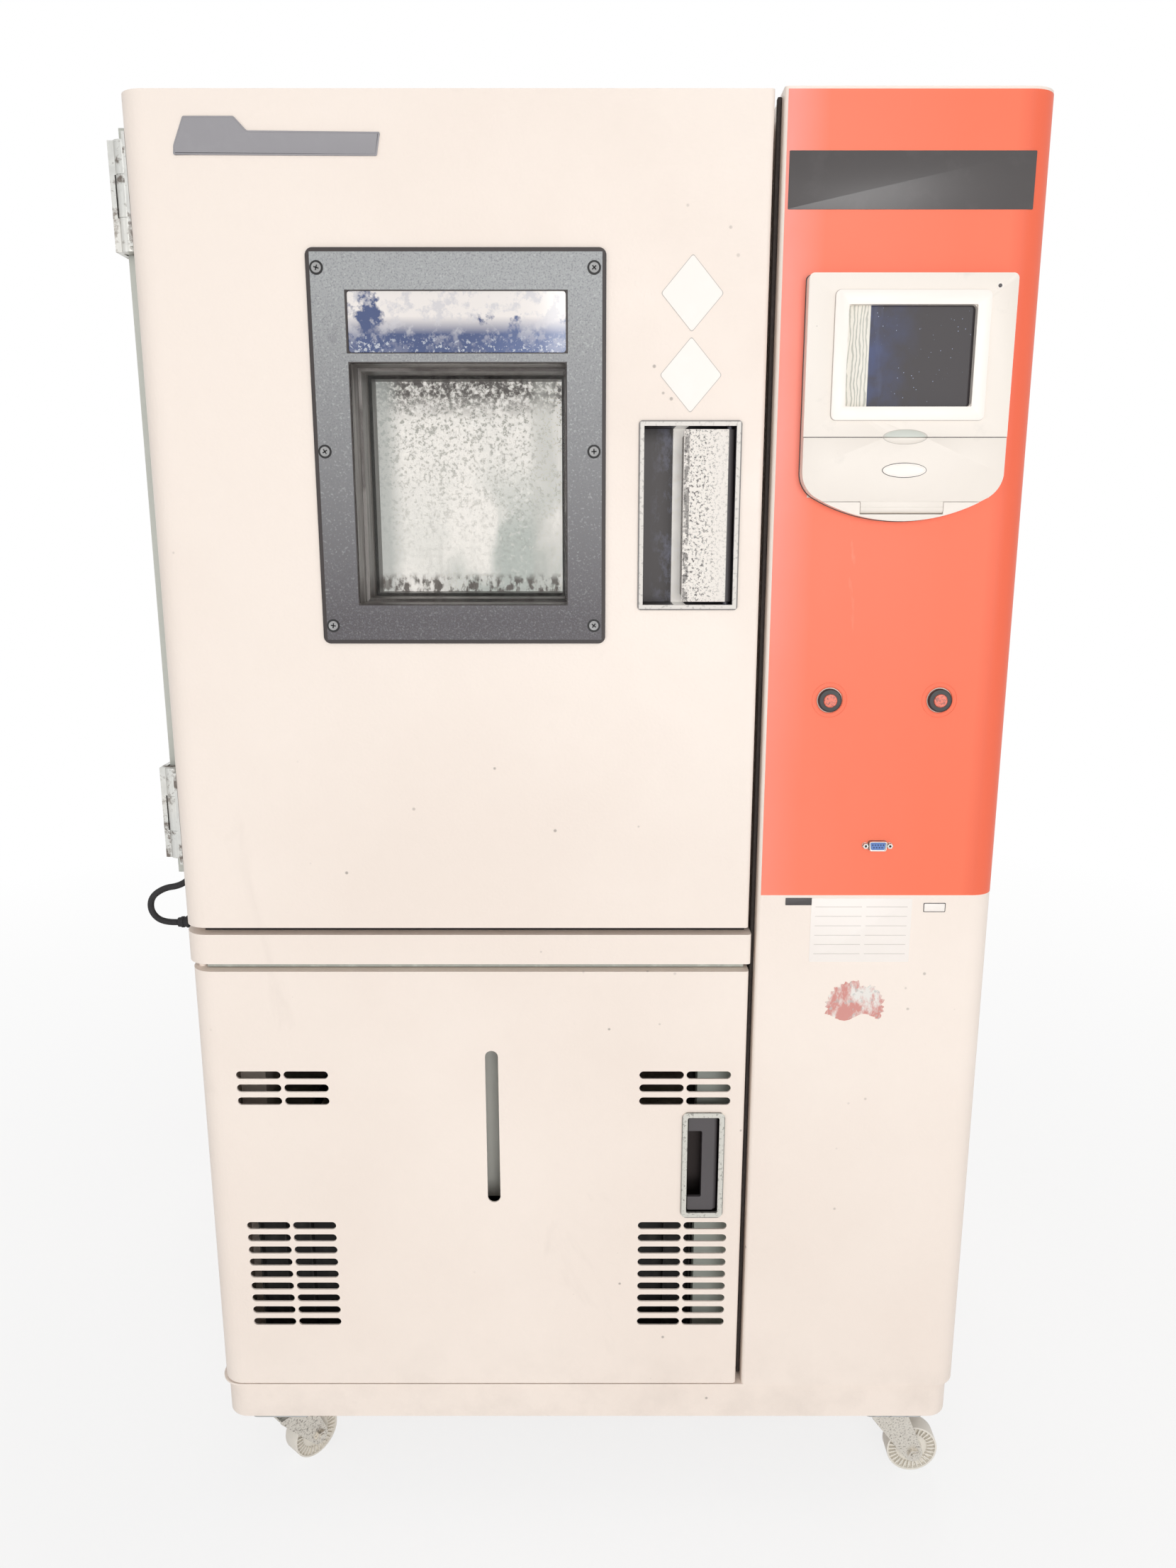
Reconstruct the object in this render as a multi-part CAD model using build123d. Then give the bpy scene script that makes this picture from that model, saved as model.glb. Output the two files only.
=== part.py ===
from build123d import *

import math
import os

# Environmental test chamber on castors, in millimetres.
# X runs to the right, Y to the back and Z up. While it is drawn, X = 0 is the cabinet's
# centre line, Y = 0 is the front of the doors and Z = 0 is the floor.

# Cabinet
cabinet_width = 850.0
cabinet_depth = 980.0
cabinet_height = 1494.0
castor_height = 96.0
plinth_height = 47.0
plinth_inset = 4.5
corner_radius = 25.0
fold_radius = 4.0
sheet = 2.0
seat_gap = 0.3
run_gap = 0.05

# Front, from the floor up and from the left across
service_door_gap = 1.5
service_door_height = 505.0
service_door_depth = 30.0
service_door_inset = 3.0
rail_gap = 8.5
rail_height = 32.7
main_door_gap = 7.8
main_door_depth = 100.0
door_seal_gap = 8.0
control_width = 248.0
main_door_side_gap = 8.5
service_door_side_gap = 6.5
rail_side_gap = 5.0
control_return = 90.0

# Insulated chamber
chamber_width = 400.0
chamber_height = 600.0
chamber_depth = 500.0
chamber_corner = 12.0
liner_wall = 1.5
floor_insulation = 98.0
rear_insulation = 98.5
plenum_depth = 168.0
shelf_height = 235.0
deck_height = 30.0
deck_plate = 3.0
post_size = 30.0

# Door furniture
window_x0 = -260.0
window_z0 = 996.0
window_width = 277.5
window_height = 363.5
window_corner = 7.0
window_plate = 2.5
view_x0 = -223.4
view_z0 = 1034.0
view_width = 203.4
view_height = 224.8
view_corner = 3.0
tunnel_wall = 4.0
pane = 4.0
pane_step = 3.0
pane_depths = (40.0, 80.0, 106.0)
lamp_z0 = 1267.8
lamp_height = 54.4
lamp_depth = 78.0
plug_depth = 22.0
plug_gap = 6.0
plug_taper = 14.0
gasket_width = 18.0
handle_x0 = 49.0
handle_z0 = 1028.7
handle_width = 98.0
handle_height = 178.6
handle_border = 5.0
handle_depth = 46.0
lever_width = 41.0
lever_plate = 4.0
lever_pivot_y = 11.0
lever_barrel = 5.0
lever_pin = 2.5
bolt_radius = 6.0
bolt_length = 66.0
bolt_z = 1118.0
bolt_case_x = 100.0
bolt_case_depth = 16.0
service_latch_x0 = 103.0
service_latch_z0 = 359.3
service_latch_width = 46.6
service_latch_height = 127.7
service_latch_border = 6.0
service_latch_corner = 7.0
service_latch_depth = 24.0
service_lever_pivot_y = 8.0
service_lever_barrel = 4.2
service_lever_pin = 2.0

# Main door hinges on the left, with a pin axis outside the door's edge
hinge_offset = 13.0
hinge_y = 52.0
hinge_height = 98.0
hinge_z = (761.5, 1365.0)
hinge_knuckle = 9.0
hinge_pin = 4.0
hinge_arm = 4.7
hinge_web = 4.0
hinge_end_knuckle = 30.0
hinge_leaf = 3.0
channel_width = 21.0
channel_y0 = 64.0
channel_depth = 30.0
channel_z0 = 740.0
channel_z1 = 1478.0

# Service door
service_pivot = (-412.0, 20.0)
service_pin = 4.0
slot_width = 48.0
slot_height = 9.0
slot_columns = (-355.2, -304.0, 80.0, 130.8)
slot_pitch = 15.3
upper_slot_z = 530.6
lower_slot_z = 348.2
upper_slot_rows = 3
lower_slot_rows = 9
sight_x = -103.3
sight_width = 14.0
sight_z0 = 377.5
sight_height = 181.5

# Controller on the control cabinet
bezel_x0 = 202.8
bezel_width = 191.7
bezel_z0 = 1114.0
bezel_height = 221.5
bezel_proud = 15.0
screen_frame_proud = 2.0
screen_recess = 5.0
bezel_top_corner = 5.0
bezel_foot_corner = 40.0
screen_x0 = 239.8
screen_z0 = 1218.4
screen_width = 118.2
screen_height = 89.6
screen_frame = 12.4
flap_top_z = 1191.6
flap_axis_z = 1125.5
flap_axis_depth = 4.0
flap_roller = 4.5
flap_foot = 6.2
flap_plate = 4.0
flap_roller_x = (259.7, 338.6)
flap_knuckle_width = 30.0
flap_pin = 1.5
dimple_width = 41.0
dimple_height = 13.0
button_x = (242.0, 351.8)
button_z = 939.2
button_bezel = 11.7
button_lens = 6.7
button_proud = 5.0
port_x = 298.0
port_z = 788.4
port_screw_spacing = 24.99

# Left wall port, drain and the door's lead
cable_port_y = 360.0
cable_port_z = 1135.0
cable_port_bore = 25.0
cable_port_wall = 2.0
port_flange = 6.0
drain_radius = 8.0
drain_wall = 2.0
drain_x = -290.0
drain_z = 640.0
drain_length = 25.0
drain_tip = 15.0
drain_bead = 2.0
lead_diameter = 7.0

# Castors: plan place of each kingpin and the way its wheel trails, in degrees
castor_inset = 38.0
castor_x = 358.0
castor_trail = 30.0
castor_turn = {"front_left": 48.0, "front_right": 0.0, "rear_left": 100.0, "rear_right": 72.0}
wheel_radius = 30.0
wheel_width = 22.0
wheel_hub = 9.0
wheel_ribs = 12
axle_radius = 4.0
kingpin_radius = 6.0
fork_gap = 15.0
fork_plate = 3.0

# Machine room and plenum
blower_z = 1258.0
blower_radius = 85.0
blower_width = 60.0
blower_blades = 18
blower_shaft = 8.0
pipe_radius = 5.0
pipe_bend = 18.0
evaporator_lift = 54.0
pipe_y = 700.0
suction_x = -60.0
liquid_x = 0.0
compressor_x = -230.0
compressor_radius = 85.0
compressor_top = 340.0
line_offset = 30.0
coil_x0 = -385.0
coil_width = 535.0
coil_y0 = 60.0
coil_depth = 45.0
coil_z0 = 165.0
coil_height = 190.0
coil_fins = 18
fan_radius = 88.0
fan_depth = 30.0
fan_blades = 5
tank_x0 = -215.0
tank_width = 205.0
tank_y0 = 45.0
tank_depth = 285.0
tank_height = 225.0

# Places worked out from the sizes above
x_left = -cabinet_width / 2
x_right = cabinet_width / 2
x_control = x_right - control_width
y_back = cabinet_depth
plinth_z = castor_height
base_z = castor_height + plinth_height
service_z0 = base_z + service_door_gap
service_z1 = service_z0 + service_door_height
rail_z0 = service_z1 + rail_gap
rail_z1 = rail_z0 + rail_height
roof_z = cabinet_height - sheet
door_z0 = rail_z1 + main_door_gap
door_z1 = roof_z
door_x1 = x_control - main_door_side_gap
frame_y = main_door_depth + door_seal_gap
body_y = frame_y + sheet
back_y = y_back - sheet
deck_z1 = rail_z1 + 6.3
deck_z0 = deck_z1 - deck_height
insulation_x0 = x_left + sheet
insulation_x1 = x_control - sheet
liner_x0 = (insulation_x0 + insulation_x1 - chamber_width) / 2
liner_x1 = liner_x0 + chamber_width
liner_z0 = deck_z1 + floor_insulation + liner_wall
liner_z1 = liner_z0 + chamber_height
liner_mid_x = (liner_x0 + liner_x1) / 2
liner_y1 = body_y + chamber_depth + plenum_depth + sheet
baffle_y = body_y + chamber_depth
insulation_y1 = liner_y1 + liner_wall + rear_insulation
hinge_x = x_left - hinge_offset
bolt_y = handle_depth + bolt_case_depth / 2
arm_x0 = hinge_x - hinge_knuckle - seat_gap - hinge_arm
bezel_y = -bezel_proud
bezel_mid_x = bezel_x0 + bezel_width / 2
origin_x = (arm_x0 + x_right) / 2
screen_y = bezel_y + screen_recess
front_y = bezel_y - screen_frame_proud
origin_y = (front_y + y_back + drain_length) / 2


def block(x0, x1, y0, y1, z0, z1):
    """A block between two planes on each axis."""
    middle = Pos((x0 + x1) / 2, (y0 + y1) / 2, (z0 + z1) / 2)
    return middle * Box(x1 - x0, y1 - y0, z1 - z0)


def plan_block(x0, x1, y0, y1, z0, z1, front_left=0.0, front_right=0.0, back=0.0):
    """A block whose upright corners are rounded one by one."""
    shape = block(x0, x1, y0, y1, z0, z1)
    corners = (
        (x0, y0, front_left),
        (x1, y0, front_right),
        (x0, y1, back),
        (x1, y1, back),
    )
    for x, y, radius in corners:
        if radius > 0:
            place = Vector(x, y, (z0 + z1) / 2)
            uprights = shape.edges().filter_by(Axis.Z)
            nearest = min(uprights, key=lambda edge: (edge.center() - place).length)
            shape = fillet(nearest, radius)
    return shape


def front_plane(y):
    """A plane seen from the front: X across, Z up."""
    return Plane(origin=(0, y, 0), x_dir=(1, 0, 0), z_dir=(0, -1, 0))


def side_plane(x):
    """A plane seen from the right: Y across, Z up."""
    return Plane(origin=(x, 0, 0), x_dir=(0, 1, 0), z_dir=(1, 0, 0))


def outline(x0, x1, z0, z1, radius=0.0):
    """A rectangle in the front view, its corners rounded."""
    place = Pos((x0 + x1) / 2, (z0 + z1) / 2)
    if radius > 0:
        return place * RectangleRounded(x1 - x0, z1 - z0, radius)
    return place * Rectangle(x1 - x0, z1 - z0)


def plate(x0, x1, z0, z1, y0, y1, radius=0.0):
    """A plate seen from the front, from depth y0 back to y1."""
    return extrude(front_plane(y0) * outline(x0, x1, z0, z1, radius), amount=y0 - y1)


def inset_plate(x0, x1, z0, z1, y0, y1, inset, radius=0.0):
    """A plate drawn in by the same amount on all four sides."""
    return plate(x0 + inset, x1 - inset, z0 + inset, z1 - inset, y0, y1, radius)


def rod(start, end, radius):
    """A round bar between two points."""
    first = Vector(*start)
    along = Vector(*end) - first
    return extrude(Plane(origin=first, z_dir=along) * Circle(radius), amount=along.length)


def pipe(points, radius, bend, bore=0.0):
    """A bent pipe: straight runs joined by bends of one radius."""
    path = FilletPolyline(*points, radius=bend)
    section = Circle(radius)
    if bore > 0:
        section -= Circle(bore)
    return sweep(Plane(origin=path @ 0, z_dir=path % 0) * section, path=path)


def slots(columns, top_z, rows, y0, y1):
    """Rows of lying slots with round ends, cut right through a front panel."""
    cut = []
    for x in columns:
        for row in range(rows):
            slot = Pos(x, top_z - row * slot_pitch) * SlotOverall(slot_width, slot_height)
            cut.append(extrude(front_plane(y0) * slot, amount=y0 - y1))
    return cut


def save(name, shape):
    """Write one sub-part, with the origin under the middle of the whole chamber."""
    export_step(Pos(-origin_x, -origin_y, 0) * shape, f"parts/{name}.step")


# Base and frame
def base_frame():
    """Welded base: folded pan with a top flange, four posts and the chamber's deck."""
    x0 = x_left + plinth_inset
    x1 = x_right - plinth_inset
    y0 = plinth_inset
    y1 = y_back - plinth_inset
    radius = corner_radius
    pan = plan_block(x0, x1, y0, y1, plinth_z, base_z - sheet, radius, radius, fold_radius)
    inner = plan_block(
        x0 + sheet, x1 - sheet, y0 + sheet, y1 - sheet, plinth_z + deck_plate, base_z,
        radius - sheet, radius - sheet,
    )
    flange = plan_block(
        x_left, x_right, 0, y_back, base_z - sheet, base_z, radius, radius,
    )
    opening = block(
        x_left + post_size, x_right - post_size, post_size, y_back - post_size,
        base_z - sheet, base_z,
    )
    pin_x, pin_y = service_pivot
    pin = rod((pin_x, pin_y, base_z - sheet), (pin_x, pin_y, service_z0 + 6), service_pin)
    frame = pan - inner + (flange - opening) + pin + chamber_deck()
    for x in (insulation_x0 + 4, insulation_x1 - post_size - 4):
        for y in (body_y + 30, y1 - sheet - post_size):
            frame += frame_post(x, y)
    return frame


def frame_post(x, y):
    """A square tube from the pan to the chamber's deck."""
    z0 = plinth_z + deck_plate
    z1 = deck_z1 - deck_plate
    post = block(x, x + post_size, y, y + post_size, z0, z1)
    hollow = block(x + sheet, x + post_size - sheet, y + sheet, y + post_size - sheet, z0, z1)
    return post - hollow


def line_holes(z0, z1):
    """Clearance holes for the pipes that rise into the chamber."""
    cut = []
    for x in (suction_x, liquid_x):
        cut.append(rod((x, pipe_y, z0), (x, pipe_y, z1), pipe_radius + seat_gap))
    cut.append(rod((drain_x, pipe_y, z0), (drain_x, pipe_y, z1), drain_radius + seat_gap))
    return cut


def chamber_deck():
    """Folded tray that carries the insulated box."""
    x0 = insulation_x0
    x1 = insulation_x1
    tray = block(x0, x1, body_y, back_y, deck_z0, deck_z1)
    under = block(
        x0 + sheet, x1 - sheet, body_y + sheet, back_y - sheet, deck_z0, deck_z1 - deck_plate,
    )
    return tray - under - line_holes(deck_z0, deck_z1)


# Outer panels
def left_side_panel():
    """One sheet: full depth beside the machine room, stopping at the door above it."""
    low_y = service_door_depth + 2 * sheet + 2
    outline_points = [
        (low_y, base_z),
        (back_y, base_z),
        (back_y, roof_z),
        (body_y, roof_z),
        (body_y, rail_z0 - 2 * sheet),
        (low_y, rail_z0 - 2 * sheet),
    ]
    face = make_face(Polyline(*outline_points, close=True))
    panel = extrude(side_plane(x_left) * face, amount=sheet)
    flange_x1 = x_left + 22
    panel += block(x_left, flange_x1, back_y - sheet, back_y, base_z, deck_z0 - sheet)
    port = rod(
        (x_left - 1, cable_port_y, cable_port_z),
        (x_left + sheet + 1, cable_port_y, cable_port_z),
        cable_port_bore + cable_port_wall,
    )
    vents = []
    for row in range(6):
        slot = Pos(760, 240 + row * slot_pitch * 1.4) * SlotOverall(110, slot_height)
        vents.append(extrude(side_plane(x_left - 1) * slot, amount=2 * sheet))
    return panel - port - vents


def roof_panel():
    """Top sheet over the chamber and the control cabinet, lipped inside the cabinet."""
    over_chamber = block(x_left, x_control, frame_y, y_back, roof_z, cabinet_height)
    over_control = plan_block(
        x_control, x_right, 0, y_back, roof_z, cabinet_height, fold_radius, corner_radius,
    )
    lip = plan_block(
        x_control + sheet, x_right - sheet, sheet, back_y, roof_z - 14, roof_z,
        fold_radius - sheet, corner_radius - sheet,
    )
    hollow = plan_block(
        x_control + 2 * sheet, x_right - 2 * sheet, 2 * sheet, back_y - sheet,
        roof_z - 14, roof_z, 0, corner_radius - 2 * sheet,
    )
    return over_chamber + over_control + (lip - hollow)


def louvre(x, z, width, height, depth):
    """A pressed louvre hood on the back, open at its lower edge."""
    points = [(y_back, z), (y_back + depth, z), (y_back, z + height)]
    hood = extrude(side_plane(x - width / 2) * make_face(Polyline(*points, close=True)), amount=width)
    wall = 1.2
    inner = [(back_y, z), (y_back + depth - 2 * wall, z), (back_y, z + height - wall)]
    face = make_face(Polyline(*inner, close=True))
    return hood, extrude(side_plane(x - width / 2 + wall) * face, amount=width - 2 * wall)


def rear_panel():
    """Back sheet with louvres over the machine room, the blower and the controls."""
    panel = plate(x_left, x_right, base_z, roof_z, back_y, y_back)
    places = []
    for row in range(6):
        places.append((liner_mid_x, 230 + row * 34, 300.0))
    for row in range(3):
        places.append((liner_mid_x, blower_z - 60 + row * 40, 170.0))
        places.append(((x_control + x_right) / 2, 300 + row * 34, 150.0))
    hoods = []
    holes = []
    for x, z, width in places:
        hood, hole = louvre(x, z, width, 16.0, 8.0)
        hoods.append(hood)
        holes.append(hole)
    drain = rod(
        (drain_x, back_y - 1, drain_z), (drain_x, y_back + 1, drain_z), drain_radius + seat_gap,
    )
    return panel + hoods - holes - drain


def partition_wall():
    """Upright sheet between the chamber and the control cabinet, with a wiring hole."""
    wall = block(x_control, x_control + sheet, control_return, back_y, base_z, roof_z)
    wiring = rod((x_control - 1, 880, 560), (x_control + sheet + 1, 880, 560), 30)
    return wall - wiring


def comm_outline(width, height, radius, lean=0.8):
    """The D outline of the nine-way port, wider along its top."""
    half = width / 2
    face = Polyline(
        (-half, height / 2), (half, height / 2), (half - lean, -height / 2),
        (lean - half, -height / 2), close=True,
    )
    shape = make_face(face)
    return fillet(shape.vertices(), radius)


def control_front_cover():
    """Bent sheet: left return, front with its cut-outs, round corner and right side."""
    outer = plan_block(
        x_control, x_right, 0, back_y, base_z, roof_z, fold_radius, corner_radius,
    )
    inner = plan_block(
        x_control + sheet, x_right - sheet, sheet, back_y, base_z, roof_z,
        fold_radius - sheet, corner_radius - sheet,
    )
    open_left = block(x_control, x_control + sheet, control_return, back_y, base_z, roof_z)
    cover = outer - inner - open_left
    pads = [
        block(x_control - 1, x_control, bolt_y - 12, bolt_y + 12, bolt_z - 20, bolt_z + 20),
    ]
    controller_hole = plate(
        bezel_x0 + 8, bezel_x0 + bezel_width - 8, flap_axis_z + 12, bezel_z0 + bezel_height - 8,
        -1, sheet + 1, 4,
    )
    holes = [controller_hole]
    for x in button_x:
        holes.append(rod((x, -1, button_z), (x, sheet + 1, button_z), button_bezel - 1.7))
    port_cut = Pos(port_x, port_z) * comm_outline(20.0, 11.7, 2.5)
    holes.append(extrude(front_plane(-1) * port_cut, amount=-sheet - 2))
    for side in (-1, 1):
        x = port_x + side * port_screw_spacing / 2
        holes.append(rod((x, -1, port_z), (x, sheet + 1, port_z), 1.6))
    for row in range(6):
        slot = Pos(760, 240 + row * slot_pitch * 1.4) * SlotOverall(110, slot_height)
        holes.append(extrude(side_plane(x_right - sheet - 1) * slot, amount=2 * sheet))
    return cover + pads - holes


def front_rail():
    """Hollow fixed rail between the doors, open to the back, with the upper pivot pin."""
    x1 = x_control - rail_side_gap
    rail = plan_block(x_left, x1, 0, body_y, rail_z0, rail_z1, corner_radius, fold_radius)
    pocket = plan_block(
        x_left + sheet, x1 - sheet, sheet, body_y, rail_z0 + sheet, rail_z1 - sheet,
        corner_radius - sheet, fold_radius - sheet,
    )
    pin_x, pin_y = service_pivot
    pin = rod((pin_x, pin_y, service_z1 - 7), (pin_x, pin_y, rail_z0 + sheet), service_pin)
    return rail - pocket + pin


# Insulated chamber
def shaft_hole(y0, y1):
    """The hole that the blower's shaft passes through."""
    return rod((liner_mid_x, y0, blower_z), (liner_mid_x, y1, blower_z), blower_shaft + 1)


def port_hole(x0, x1):
    """The hole that the cable port's tube fills."""
    radius = cable_port_bore + cable_port_wall
    return rod((x0, cable_port_y, cable_port_z), (x1, cable_port_y, cable_port_z), radius)


def liner_plate(y0, y1, grow=0.0):
    """The chamber's rounded section, grown by a wall."""
    return plate(
        liner_x0 - grow, liner_x1 + grow, liner_z0 - grow, liner_z1 + grow, y0, y1,
        chamber_corner + grow,
    )


def chamber_insulation():
    """Foam block round the liner."""
    foam = block(insulation_x0, insulation_x1, body_y, insulation_y1, deck_z1, roof_z)
    foam -= liner_plate(body_y, liner_y1 + liner_wall, liner_wall)
    foam -= shaft_hole(liner_y1, insulation_y1)
    foam -= port_hole(insulation_x0, liner_x0)
    return foam - line_holes(deck_z1, liner_z0)


def chamber_liner():
    """Bright pressed liner, with the flat frame round its mouth that the gasket meets."""
    liner = liner_plate(body_y, liner_y1 + liner_wall, liner_wall)
    liner += plate(x_left, insulation_x1, deck_z1, roof_z, frame_y, body_y)
    liner -= liner_plate(frame_y, liner_y1)
    liner -= shaft_hole(liner_y1 - 1, liner_y1 + liner_wall + 1)
    liner -= port_hole(liner_x0 - liner_wall - 1, liner_x0 + 1)
    for x in (suction_x, liquid_x):
        top = (x, pipe_y, liner_z0 + 1)
        liner -= rod((x, pipe_y, liner_z0 - liner_wall - 1), top, pipe_radius + seat_gap)
    bottom = (drain_x, pipe_y, liner_z0 - liner_wall - 1)
    return liner - rod(bottom, (drain_x, pipe_y, liner_z0 + 1), drain_radius - drain_wall)


def shelf_rails():
    """On each side wall, two slotted uprights and the runner that holds the shelf."""
    sides = []
    for side in (-1, 1):
        wall = liner_x0 + run_gap if side < 0 else liner_x1 - run_gap
        near = wall - side * 6
        x0, x1 = min(wall, near), max(wall, near)
        piece = None
        for y in (body_y + 90, body_y + 390):
            upright = block(x0, x1, y, y + 22, liner_z0 + 40, liner_z1 - 40)
            groove = block(
                min(near, near + side * 4), max(near, near + side * 4), y + 5, y + 17,
                liner_z0 + 60, liner_z1 - 60,
            )
            upright -= groove
            piece = upright if piece is None else piece + upright
        runner_z = liner_z0 + shelf_height
        tip = wall - side * 22
        foot = block(
            min(near, tip), max(near, tip), body_y + 60, body_y + 450, runner_z - 2, runner_z,
        )
        web = block(
            min(near, near - side * 2), max(near, near - side * 2), body_y + 60, body_y + 450,
            runner_z, runner_z + 12,
        )
        sides.append(piece + foot + web)
    return Compound(children=sides)


def shelf():
    """Perforated shelf with a turned-up rim, resting on its runners."""
    x0 = liner_x0 + 8 + seat_gap
    x1 = liner_x1 - 8 - seat_gap
    y0 = body_y + 40
    y1 = body_y + 460
    z = liner_z0 + shelf_height
    tray = block(x0, x1, y0, y1, z, z + 10) - block(x0 + 1.2, x1 - 1.2, y0 + 1.2, y1 - 1.2, z + 1.2, z + 10)
    cut = []
    for column in range(4):
        for row in range(5):
            x = x0 + 50 + column * (x1 - x0 - 100) / 3
            y = y0 + 50 + row * (y1 - y0 - 100) / 4
            cut.append(extrude(Plane.XY.offset(z) * (Pos(x, y) * SlotOverall(70, 24)), amount=1.2))
    return tray - cut


def air_baffle():
    """Back plate of the working space, with the blower's outlet and stiffening folds."""
    z0 = liner_z0 + 50
    z1 = liner_z1 - 60
    baffle = plate(liner_x0, liner_x1, z0, z1, baffle_y, baffle_y + sheet)
    for z in (z0, z1 - sheet):
        baffle += block(liner_x0, liner_x1, baffle_y, baffle_y + 12, z, z + sheet)
    inlet = rod(
        (liner_mid_x, baffle_y, blower_z), (liner_mid_x, baffle_y + sheet, blower_z),
        blower_radius * 0.72,
    )
    guard = rod(
        (liner_mid_x, baffle_y, blower_z), (liner_mid_x, baffle_y + sheet, blower_z), 16,
    )
    arm = block(
        liner_mid_x - 62, liner_mid_x + 62, baffle_y, baffle_y + sheet, blower_z - 3, blower_z + 3,
    )
    upright = block(
        liner_mid_x - 3, liner_mid_x + 3, baffle_y, baffle_y + sheet, blower_z - 62, blower_z + 62,
    )
    return baffle - inlet + guard + arm + upright


def evaporator_coil():
    """Finned coil between two end plates fixed to the plenum's back wall."""
    x0 = liner_x0 + 24
    x1 = liner_x1 - 26
    y0 = baffle_y + 32
    z0 = liner_z0 + evaporator_lift + 10
    z1 = z0 + 196
    coil = block(x0, x0 + 3, y0, liner_y1, z0, z1) + block(x1 - 3, x1, y0, liner_y1, z0, z1)
    fins = 9
    for index in range(1, fins):
        x = x0 + index * (x1 - x0) / fins
        coil += block(x - 0.8, x + 0.8, y0 + 6, liner_y1 - 46, z0 + 6, z1 - 6)
    for z in (z0 + 24, z0 + 98, z0 + 172):
        coil += rod((x0 - 10, pipe_y, z), (x1 + 10, pipe_y, z), 6)
    for x in (suction_x, liquid_x):
        coil += rod((x, pipe_y, z0 - 10), (x, pipe_y, z0 + 24), pipe_radius)
    return coil


def heater_element():
    """Sheathed heater bent in a loop, its two ends held in the plenum's back wall."""
    x0 = liner_x0 + 60
    x1 = liner_x1 - 60
    z = liner_z0 + 290
    points = [
        (x0, liner_y1, z), (x0, pipe_y, z), (x1, pipe_y, z), (x1, pipe_y, z + 34),
        (x0, pipe_y, z + 34), (x0, liner_y1, z + 34),
    ]
    return pipe(points, 4.0, 12.0)


def blower_wheel():
    """Radial wheel with curved blades on its long shaft."""
    y0 = baffle_y + 34
    y1 = y0 + blower_width
    plane = front_plane(y0)
    centre = Pos(liner_mid_x, blower_z)
    back = extrude(front_plane(y1 - 2) * (centre * Circle(blower_radius)), amount=-2)
    ring_face = centre * (Circle(blower_radius) - Circle(blower_radius - 18))
    ring = extrude(plane * ring_face, amount=-2)
    hub = rod((liner_mid_x, y1 - 26, blower_z), (liner_mid_x, y1, blower_z), 17)
    wheel = back + ring + hub
    for index in range(blower_blades):
        turn = Rot(0, 0, index * 360 / blower_blades)
        arc = ThreePointArc((blower_radius - 18, 0), (blower_radius - 9, 4), (blower_radius - 1, 2))
        blade = turn * trace(arc, 1.6)
        wheel += extrude(plane * (centre * blade), amount=-(blower_width - 1))
    shaft = rod(
        (liner_mid_x, y1 - 26, blower_z), (liner_mid_x, insulation_y1 + 22, blower_z), blower_shaft,
    )
    return wheel + shaft


def blower_motor():
    """Flanged motor on the back of the insulated box, with a ribbed body."""
    y0 = insulation_y1
    flange = rod((liner_mid_x, y0, blower_z), (liner_mid_x, y0 + 5, blower_z), 75)
    body = rod((liner_mid_x, y0 + 5, blower_z), (liner_mid_x, y0 + 84, blower_z), 50)
    motor = flange + body
    for y in range(5):
        start = y0 + 16 + y * 12
        motor += rod((liner_mid_x, start, blower_z), (liner_mid_x, start + 4, blower_z), 56)
    box_x = liner_mid_x + 46
    motor += block(box_x, box_x + 34, y0 + 20, y0 + 70, blower_z - 22, blower_z + 22)
    bore = rod((liner_mid_x, y0, blower_z), (liner_mid_x, y0 + 26, blower_z), blower_shaft + run_gap)
    return motor - bore


# Machine room
def condenser_inlet():
    """Top of the stub where the hot gas enters the condenser."""
    return coil_x0 + 55, coil_y0 + coil_depth / 2, coil_z0 + coil_height + 12


def compressor():
    """Hermetic can with a domed top on a footed base plate, and the pipes brazed to it."""
    floor = plinth_z + deck_plate
    can = rod((0, 0, 116), (0, 0, compressor_top), compressor_radius)
    can = fillet(can.faces().sort_by(Axis.Z)[-1].edges(), 44)
    can = fillet(can.faces().sort_by(Axis.Z)[0].edges(), 8)
    can += block(-80, 80, -80, 80, 112, 117)
    for x in (-66, 66):
        for y in (-66, 66):
            can += rod((x, y, floor), (x, y, 113), 12)
    can = Pos(compressor_x, pipe_y, 0) * can
    start = compressor_top - 30
    turn = compressor_top + 80
    gas_x, gas_y, gas_z = condenser_inlet()
    left = compressor_x - line_offset
    right = compressor_x + line_offset
    discharge = [
        (left, pipe_y, start), (left, pipe_y, turn), (gas_x, pipe_y, turn),
        (gas_x, gas_y, turn), (gas_x, gas_y, gas_z),
    ]
    suction = [
        (suction_x, pipe_y, liner_z0 + evaporator_lift), (suction_x, pipe_y, 560),
        (right, pipe_y, 560), (right, pipe_y, start),
    ]
    for points in (discharge, suction):
        can += pipe(points, pipe_radius, pipe_bend)
    return can


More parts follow.
